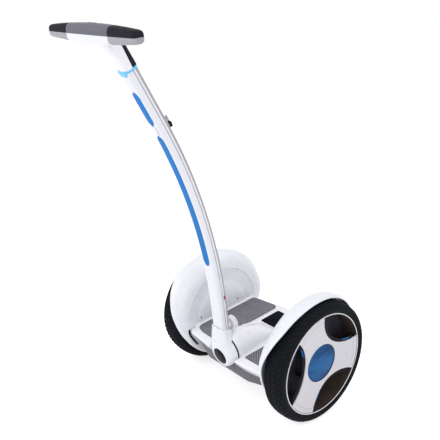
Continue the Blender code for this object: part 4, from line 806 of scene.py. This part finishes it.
def mat_teeth(side, sign):
    """White teeth between the mat and the panel."""
    verts = []
    faces = []
    wide, deep = TOOTH_HALF
    y = TOOTH_FIRST
    while y < TOOTH_LAST:
        a = len(verts)
        for z, slope, narrowing in ((TOOTH_LOW, 0.0, 1.0), (RELIEF_TOP, RELIEF_SLOPE, TOOTH_NARROWING)):
            for dx, dy in ((-wide, -deep), (wide, -deep), (wide, deep), (-wide, deep)):
                x = sign * TOOTH_X + dx - copysign(slope, dx)
                verts.append(CHASSIS @ Vector((x, y + dy * narrowing, DECK_TOP + z)))
        faces += [(a + 3, a + 2, a + 1, a), (a + 4, a + 5, a + 6, a + 7)]
        faces += [(a + i, a + (i + 1) % 4, a + 4 + (i + 1) % 4, a + 4 + i) for i in range(4)]
        y += TOOTH_PITCH
    built("mat_teeth_" + side, verts, faces, "white", "chassis", (), MAT_SHARP)


for side, sign in SIDES:
    outline = rounded([(sign * x, y) for x, y in MAT_HALF], MAT_CORNER, 3)
    slab("foot_mat_%s.base" % side, outline, MAT_LOW, MAT_TOP, CHASSIS, "mat", "chassis",
         ("foot_mat_" + side,), 0.0004)
    mat_ribs(side, sign, outline)
    mat_teeth(side, sign)

PANEL = (
    (-0.044, 0.141), (-0.047, 0.136), (-0.047, 0.056), (-0.040, 0.052), (0.040, 0.052), (0.047, 0.056),
    (0.047, 0.136), (0.044, 0.141),
)
PANEL_LOW = DECK_TOP - 0.001
slab("status_panel.shown", rounded(PANEL, 0.004, 3), PANEL_LOW, MAT_TOP, CHASSIS, "glass", "chassis",
     ("status_panel",), 0.0003)

# Pole: depths are measured behind its front
SWELL_FROM = 0.0152
REAR_FULLNESS = 0.22
FULL_FROM = 0.08
POLE_STEP = 0.014
POLE_SHARP = 30.0
POLE_START = -0.006
SEAM_START = -0.005
pole_arc_length = POLE_ARC_RADIUS * POLE_BEND
pole_length = POLE_LOW + pole_arc_length + POLE_HIGH
pole_top = pole_length - 0.002


def pole_point(s):
    """(y, z, lean) of the centre line at a length from its foot, in the chassis frame."""
    lean = POLE_LEAN
    y, z = POLE_FOOT
    low = min(s, POLE_LOW)
    y -= sin(lean) * low
    z += cos(lean) * low
    s -= low
    if s <= 0:
        return y, z, lean
    turn = min(s, pole_arc_length) / POLE_ARC_RADIUS
    y -= POLE_ARC_RADIUS * (cos(lean) - cos(lean + turn))
    z += POLE_ARC_RADIUS * (sin(lean + turn) - sin(lean))
    lean += turn
    s -= pole_arc_length
    if s > 0:
        y -= sin(lean) * s
        z += cos(lean) * s
    return y, z, lean


def at_pole(s, x, depth):
    """Point at a length along the pole, sideways x, and a depth behind its front that swells at the rear."""
    y, z, lean = pole_point(s)
    depth += max(0.0, depth - SWELL_FROM) * REAR_FULLNESS * min(1.0, max(0.0, s / FULL_FROM))
    back = depth - POLE_DEPTH / 2
    return CHASSIS @ Vector((x, y + back * cos(lean), z + back * sin(lean)))


def upright_at(s):
    """Local X sideways, local Y to the back, local Z up along the pole."""
    y, z, lean = pole_point(s)
    return CHASSIS @ moved(0.0, y, z) @ rotated(lean, "X")


def spaced(start, end):
    """Lengths from start to end, about a step apart."""
    count = max(2, round((end - start) / POLE_STEP))
    return [start + (end - start) * i / count for i in range(count + 1)]


def pole_piece(name, half, start, look, stands_for=(), fillet=0.0):
    """Section, given by its half at x >= 0, along the pole up to its top."""
    section = both_sides(half)
    if fillet:
        section = rounded(section, fillet)
    rings = [[at_pole(s, x, d) for x, d in section] for s in spaced(start, pole_top)]
    skinned(name, rings, look, "steering", stands_for, POLE_SHARP)


FLANK = POLE_HALF
SIDE_SEAM = 0.0184
FRONT_HALF = [(0.009, -0.0001), (0.0205, 0.0008), (FLANK, 0.007), (FLANK, SIDE_SEAM - 0.0006)]
SEAM_HALF = [(FLANK - 0.0005, SIDE_SEAM - 0.0012), (FLANK - 0.0005, SIDE_SEAM + 0.0008)]
BAND_HALF = [
    (FLANK - 0.0003, SIDE_SEAM + 0.0002), (FLANK - 0.0003, 0.0232), (0.0222, 0.0236), (0.0222, 0.026),
]
REAR_GROOVE_SHADE_HALF = [(FLANK - 0.0022, 0.0228), (FLANK - 0.0022, 0.0242)]
RAIL_HALF = [(FLANK - 0.0008, 0.0239), (FLANK - 0.0008, 0.0283), (0.0195, POLE_DEPTH)]
pole_piece("pole_front_shell.shown", FRONT_HALF, POLE_START, "white", ("pole_front_shell",), 0.0048)
# The strip in the front seam stands partly for the core seen through the gap and partly for painted shade in
# the groove.
pole_piece("pole_seam_front", SEAM_HALF, SEAM_START, "line")
pole_piece("pole_rear_shell.shown", BAND_HALF, POLE_START, "white", ("pole_rear_shell",), 0.0006)
# Dark strip of painted shade in the groove between the band and the rail.
pole_piece("pole_rear_groove_shade", REAR_GROOVE_SHADE_HALF, SEAM_START, "seam")
pole_piece("pole_rail.shown", RAIL_HALF, POLE_START, "rail", ("pole_rail",), 0.0016)

# Blue strips and the plate between them
STRIP_HALF = 0.0142
STRIP_END = 1.5  # length of the round end, in half widths
STRIP_END_ROWS = (0.0, 0.03, 0.1, 0.2, 0.35, 0.6, 1.0, STRIP_END)
STRIP_LOW = 0.0016
STRIP_CROWN = ((1.0, 0.0001), (0.93, -0.0002), (0.5, -0.0005))  # share of the half width, depth
UPPER_STRIP = (pole_length - 0.1715, pole_length - 0.0635)
LOWER_STRIP = (0.245, pole_length - 0.2055)
LOZENGE = (
    (-0.0095, -0.01), (0.0, -0.0165), (0.0095, -0.01), (0.0095, 0.01), (0.0, 0.0165), (-0.0095, 0.01),
)
LOZENGE_CORNER = 0.003
PLATE_AT = pole_length - 0.1885


def inlay(node, start, end):
    """Strip with round ends on the crowned front of the pole, a little proud of it."""
    ends = [STRIP_HALF * f for f in STRIP_END_ROWS]
    rows = set([start + e for e in ends] + [end - e for e in ends])
    rows.update(spaced(start + 2 * STRIP_HALF, end - 2 * STRIP_HALF))
    rings = []
    for s in sorted(rows):
        near = min((s - start) / STRIP_END, (end - s) / STRIP_END, STRIP_HALF)
        wide = sqrt(max(STRIP_HALF ** 2 - (STRIP_HALF - near) ** 2, 1e-8))
        crown = [(wide * share, depth) for share, depth in STRIP_CROWN]
        section = [(-wide, STRIP_LOW), (wide, STRIP_LOW)] + crown + [(-x, d) for x, d in reversed(crown)]
        rings.append([at_pole(s, x, d) for x, d in section])
    skinned(node + ".shown", rings, "stripe", "steering", (node,), SOFT_SHARP)


inlay("strip_upper", *UPPER_STRIP)
inlay("strip_lower", *LOWER_STRIP)
plate_at = upright_at(PLATE_AT) @ moved(0.0, -POLE_DEPTH / 2, 0.0)
facing = plate_at @ rotated(QUARTER, "X")
seat = rounded([(x * 1.10, y * 1.08) for x, y in LOZENGE], LOZENGE_CORNER)
slab("plate_seat", seat, -0.0006, 0.0007, facing, "line", "steering", bevel=0.0002)
slab("pole_plate.shown", rounded(LOZENGE, LOZENGE_CORNER), 0.0002, 0.0020, facing, "white", "steering",
     ("pole_plate",), 0.0006)

# Collar
COLLAR_HALF = POLE_HALF + 0.001
COLLAR_FRONT = POLE_DEPTH / 2 + 0.001
COLLAR_BACK = COLLAR_FRONT + 0.0042
COLLAR_LOW = -0.007
COLLAR_HIGH = -0.0012
COLLAR_SECTION = [
    (0.01, -COLLAR_FRONT), (0.02, 0.001 - COLLAR_FRONT), (COLLAR_HALF, -0.008), (COLLAR_HALF, 0.014),
    (0.02, COLLAR_BACK),
]
TONGUE = (
    (-0.0175, -0.002), (0.0175, -0.002), (0.017, -0.01), (0.0125, -0.0168), (-0.0125, -0.0168),
    (-0.017, -0.01),
)
collar_place = upright_at(pole_length)
collar_outline = rounded(both_sides(COLLAR_SECTION), 0.003, 3)
slab("collar_ring.shown", collar_outline, COLLAR_LOW, COLLAR_HIGH, collar_place, "cyan", "steering",
     ("collar_ring",), 0.0006)
slab("collar_tongue", rounded(TONGUE, 0.003), POLE_DEPTH / 2 - 0.0005, COLLAR_FRONT + 0.0012,
     collar_place @ rotated(QUARTER, "X"), "cyan", "steering", bevel=0.0006)
refined("latch_mark", "red", "steering", 0.0004, 40.0)
refined("lever_bracket", "rail", "steering", 0.0006, 40.0)
refined("height_lever", "grip", "lever", 0.0006, 40.0)
refined("lever_pin", "steel", "steering", 0.0003, 50.0)

# Nose, its badge, the joint behind it, and a dark ring of painted shade in the gap on its rear edge
refined("hub_nose", "white", "steering", 0.0, 40.0, 33.0)
BADGE_DROP = 0.018
BADGE_LINE = (
    (0.0, 0.0362), (0.0262, 0.0356), (0.0276, 0.0348), (0.029, 0.0345), (0.0292, 0.0333), (0.0, 0.0333),
)
BOOT_LINE = ((0.012, -0.0012), (0.059, -0.0012), (0.0604, 0.0005), (0.0604, 0.0038), (0.012, 0.0038))
NOSE_GAP_SHADE = (
    (0.0596, -0.0058), (0.0611, -0.0056), (0.0615, -0.0047), (0.0615, -0.002), (0.0611, -0.001),
    (0.0596, -0.0008),
)
badge_place = HINGE @ moved(0.0, 0.0, -BADGE_DROP) @ rotated(QUARTER, "X")
lathe("nose_badge.shown", BADGE_LINE, badge_place, "window", "steering", ("nose_badge",), 72)
backward = HINGE @ rotated(-QUARTER, "X")
# The boot takes the lighter copy of the white shell, as painted light.
lathe("joint_boot", BOOT_LINE, backward, "white_painted_light", "chassis", steps=72)
# The dark ring paints the shade in the gap between the nose and the deck's hump.
lathe("nose_gap_shade", NOSE_GAP_SHADE, backward, "seam", "steering")

# Lock knob
KNOB_AT = 0.0035
KNOB_TEETH = 18
KNOB_RADIUS = 0.0223
KNOB_SHARP = 30.0
KNOB_WAVE = (0.0008, 0.0004, -0.0024, 0.0004)
# Height, inset and whether the toothed wave shows
KNOB_RINGS = (
    (0.016, 0.0018, True), (0.0172, 0.0, True), (0.033, 0.0, True), (0.0345, 0.0018, True),
    (0.0345, 0.0062, False), (0.0332, 0.0076, False),
)
KNOB_STEM = (
    (0.0, -0.008), (0.011, -0.008), (0.011, 0.013), (0.0098, 0.014), (0.0066, 0.0142), (0.0066, 0.016),
    (0.0, 0.016),
)


def lock_knob(place):
    """Toothed knob with a dished face."""
    rings = []
    points = KNOB_TEETH * len(KNOB_WAVE)
    for height, inset, toothed in KNOB_RINGS:
        ring = []
        for i in range(points):
            a = FULL * i / points
            wave = KNOB_WAVE[i % len(KNOB_WAVE)] if toothed else 0.0
            reach = KNOB_RADIUS + wave - inset
            ring.append(place @ Vector((reach * cos(a), reach * sin(a), height)))
        rings.append(ring)
    skinned("lock_knob.shown", rings, "knob", "lock_knob", ("lock_knob",), KNOB_SHARP)


behind_pole = upright_at(KNOB_AT) @ moved(0.0, POLE_DEPTH / 2 + 0.004, 0.0)
knob_place = behind_pole @ rotated(-QUARTER, "X")
lock_knob(knob_place)
lathe("knob_stem", KNOB_STEM, knob_place, "white", "steering", steps=48)

# Handlebar: distance from the middle, then the height above and below the parting line and the half depth
BAR_BACK = 0.007
BAR_END = 0.197
BAR_LINE = (
    (0.0, 0.0236, 0.0222, 0.0190), (0.045, 0.0234, 0.0220, 0.0188), (BAR_CENTRE, 0.0216, 0.0200, 0.0182),
    (0.140, 0.0192, 0.0178, 0.0172), (0.178, 0.0166, 0.0156, 0.0158), (0.188, 0.0156, 0.0148, 0.0150),
    (0.193, 0.0142, 0.0136, 0.0138), (0.1957, 0.0122, 0.0118, 0.0120), (BAR_END, 0.0094, 0.0092, 0.0094),
)
BAR_SQUARE = 0.62  # exponent of the section: 1 is an ellipse, smaller is squarer
BAR_POINTS = 24
BAR_PARTING = 0.00015
BAR_BEVEL = 0.0005
BAR_BEVEL_ANGLE = 60.0
CENTRE_STATIONS = [BAR_CENTRE * (i / 7 - 1) for i in range(15)]
GRIP_STATIONS = (
    BAR_CENTRE + 0.0003, 0.108, 0.122, 0.136, 0.15, 0.164, 0.176, 0.184, 0.1885, 0.1915, 0.194, 0.1957,
    0.1966, BAR_END,
)
PLUG_DROP = 0.0064
PLUG_LINE = (
    (0.0, 0.19), (0.007, 0.19), (0.007, 0.1972), (0.0062, 0.1979), (0.0054, 0.1976), (0.0, 0.1974),
)
TUBE_LINE = ((0.005, -0.183), (0.0068, -0.183), (0.0068, 0.183), (0.005, 0.183))
bar_place = CHASSIS @ moved(0.0, BAR_Y + BAR_BACK, BAR_Z)


def signed_power(value, power):
    """Power of a sine or cosine that keeps its sign."""
    return copysign(abs(value) ** power, value)


def half_bar(name, stations, upper, look, stands_for):
    """Upper or lower half of the bar through stations along it."""
    rings = []
    for x in stations:
        top, low, deep = through(BAR_LINE, abs(x))
        high = top if upper else -low
        offset = BAR_PARTING if upper else -BAR_PARTING
        ring = []
        for i in range(BAR_POINTS + 1):
            a = pi * i / BAR_POINTS
            lift = high * sin(a) ** BAR_SQUARE + offset
            ring.append(bar_place @ Vector((x, deep * signed_power(cos(a), BAR_SQUARE), lift)))
        rings.append(ring)
    skinned(name, rings, look, "handlebar", stands_for, SOFT_SHARP, BAR_BEVEL, BAR_BEVEL_ANGLE)


half_bar("bar_top_cover.shown", CENTRE_STATIONS, True, "bar", ("bar_top_cover",))
half_bar("bar_bottom", CENTRE_STATIONS, False, "white", ("neck_shell",))
for side, sign in SIDES:
    stations = [sign * x for x in GRIP_STATIONS]
    half_bar("grip_%s.shown" % side, stations, True, "grip", ("grip_" + side,))
    half_bar("grip_pad_%s.shown" % side, stations, False, "pad", ("grip_pad_" + side,))
    outward = rotated(sign * QUARTER, "Y")
    plug_place = bar_place @ moved(0.0, 0.0, -PLUG_DROP) @ outward
    lathe("end_cap_%s.shown" % side, PLUG_LINE, plug_place, "plug", "handlebar", ("end_cap_" + side,), 48)
along_bar = CHASSIS @ moved(0.0, BAR_Y, BAR_Z) @ rotated(QUARTER, "Y")
lathe("bar_tube.shown", TUBE_LINE, along_bar, "alloy", "handlebar", ("bar_tube",), 32)

# Neck between the collar and the bar. Each row: its number, the centre's y and z, the lean, the half width,
# and the depths of the front and the back from the centre
NECK_SQUARE = 0.72
NECK_POINTS = 36
NECK_STEPS = 5  # rings for each row
top = pole_point(pole_length - 0.0015)
NECK = (
    (0.0, top[0], top[1], top[2], 0.0252, -0.0155, 0.0092),
    (1.0, -0.4040, 0.9740, radians(27), 0.0265, -0.0170, 0.0092),
    (2.0, -0.4160, 0.9960, radians(36), 0.0300, -0.0200, 0.0110),
    (3.0, -0.4340, 1.0140, radians(50), 0.0375, -0.0220, 0.0190),
    (4.0, -0.4560, 1.0260, radians(66), 0.0490, -0.0200, 0.0150),
    (5.0, -0.4775, 1.0330, radians(80), 0.0600, -0.0130, 0.0060),
)
NECK_STRIP = (
    (0.008, -0.0015), (0.019, -0.0015), (0.02, 0.001), (0.019, 0.056), (0.015, 0.066),
    (0.008, 0.07),
)
NECK_STRIP_HALF = 0.0222


def neck():
    """Skin from the collar up into the underside of the bar."""
    rings = []
    for k in range(NECK_STEPS * (len(NECK) - 1) + 1):
        y, z, lean, half, front, back = through(NECK, k / NECK_STEPS)
        ring = []
        for i in range(NECK_POINTS):
            a = FULL * i / NECK_POINTS
            c = signed_power(cos(a), NECK_SQUARE)
            s = signed_power(sin(a), NECK_SQUARE)
            d = back * s if s > 0 else -front * s
            ring.append(CHASSIS @ Vector((half * c, y + d * cos(lean), z + d * sin(lean))))
        rings.append(ring)
    # The neck takes the lighter copy of the white shell, as painted light.
    skinned("neck.shown", rings, "white_painted_light", "handlebar", sharp=SOFT_SHARP)


neck()
slab("neck_strip.shown", rounded(NECK_STRIP, 0.002), -NECK_STRIP_HALF, NECK_STRIP_HALF, collar_place @ ACROSS,
     "gloss", "handlebar", ("neck_strip",), 0.0018)
refined("display_lens", "gloss", "handlebar", 0.0003, 40.0)
refined("power_button", "stripe", "button", 0.0, 40.0)

# Pieces that stay as they are, and small ones that only get rounded edges
for node, look in (
    ("battery_pack", "case"), ("control_board", "alloy"), ("lean_bearing", "alloy"), ("lean_pin", "steel"),
    ("pole_core", "alloy"), ("bar_stem", "alloy"), ("knob_screw", "steel"),
    ("hub_motor_left", "steel"), ("hub_motor_right", "steel"), ("charge_socket", "gloss"),
):
    kept(node, look)
for node, look, body in (
    ("stand_bracket", "steel", "chassis"), ("stand_pin", "steel", "chassis"), ("stand_leg", "alloy", "stand"),
    ("stand_foot", "grip", "stand"), ("charge_flap", "grey", "charge_flap"), ("tail_light", "red", "chassis"),
):
    refined(node, look, body, 0.0005, 45.0)

# Floor, light and camera
WORLD_LIGHT = 0.84
FLOOR_HALF = 8.0
FLOOR_COLOR = (0.82, 0.82, 0.83, 1.0)
FLOOR_ROUGHNESS = 0.9
FLOOR_GLOW = 0.62
PURE_WHITE = (1.0, 1.0, 1.0, 1.0)
AIM = (0.0, 0.0, 0.45)
FOCAL = 634.5  # in pixels of the frame
FRAME = 440.0
SENSOR = 36.0
FORWARD = Vector((-0.7137, 0.6144, -0.3366))
CAMERA_AT = (1.3641, AXLE_Y - 1.3499, 1.2787)


def area_light(name, at, size, power):
    """Square lamp that shines at the middle of the vehicle."""
    light = bpy.data.lights.new(name, "AREA")
    light.shape = "SQUARE"
    light.size = size
    light.energy = power
    obj = added(name, light)
    obj.location = at
    obj.rotation_euler = (Vector(AIM) - Vector(at)).to_track_quat("-Z", "Y").to_euler()


def seen_directly(tree):
    """Light Path output that is 1 for camera, glossy and transmission rays."""
    path = tree.nodes.new("ShaderNodeLightPath")
    seen = path.outputs["Is Camera Ray"]
    for kind in ("Is Glossy Ray", "Is Transmission Ray"):
        either = tree.nodes.new("ShaderNodeMath")
        either.operation = "MAXIMUM"
        tree.links.new(seen, either.inputs[0])
        tree.links.new(path.outputs[kind], either.inputs[1])
        seen = either.outputs[0]
    return seen


def studio_world():
    """White surroundings that light the vehicle a little less than they look."""
    world = bpy.data.worlds.new("studio")
    bpy.context.scene.world = world
    world.use_nodes = True
    tree = world.node_tree
    background = tree.nodes["Background"]
    background.inputs["Color"].default_value = PURE_WHITE
    level = node_of(tree, "ShaderNodeMapRange", To_Min=WORLD_LIGHT, To_Max=1.0)
    tree.links.new(seen_directly(tree), level.inputs["Value"])
    tree.links.new(level.outputs["Result"], background.inputs["Strength"])


def studio_floor():
    """Pale floor that looks white and still takes the vehicle's shadow."""
    shape = bmesh.new()
    corners = ((-1, -1), (1, -1), (1, 1), (-1, 1))
    shape.faces.new([shape.verts.new((x * FLOOR_HALF, y * FLOOR_HALF, 0.0)) for x, y in corners])
    floor = meshed("floor", shape)
    paper = bpy.data.materials.new("floor_paper")
    paper.use_nodes = True
    tree = paper.node_tree
    shader = tree.nodes["Principled BSDF"]
    shader.inputs["Base Color"].default_value = FLOOR_COLOR
    shader.inputs["Roughness"].default_value = FLOOR_ROUGHNESS
    shader.inputs["Specular IOR Level"].default_value = 0.0
    shader.inputs["Emission Color"].default_value = PURE_WHITE
    glow = node_of(tree, "ShaderNodeMapRange", To_Min=0.0, To_Max=FLOOR_GLOW)
    tree.links.new(seen_directly(tree), glow.inputs["Value"])
    tree.links.new(glow.outputs["Result"], shader.inputs["Emission Strength"])
    floor.data.materials.append(paper)
    return floor


def photo_camera():
    """Camera at the photo's place and angle."""
    data = bpy.data.cameras.new("camera")
    data.sensor_width = SENSOR
    data.lens = SENSOR * FOCAL / FRAME
    camera = added("camera", data)
    camera.location = CAMERA_AT
    camera.rotation_euler = FORWARD.to_track_quat("-Z", "Y").to_euler()
    bpy.context.scene.camera = camera


studio_world()
floor = studio_floor()
area_light("key", (-1.7, -3.1, 2.4), 2.6, 42.0)
area_light("fill", (3.2, -1.4, 1.6), 2.4, 22.0)
area_light("top", (0.4, 1.6, 3.8), 2.6, 18.0)
photo_camera()
bpy.context.scene.view_settings.view_transform = "Standard"
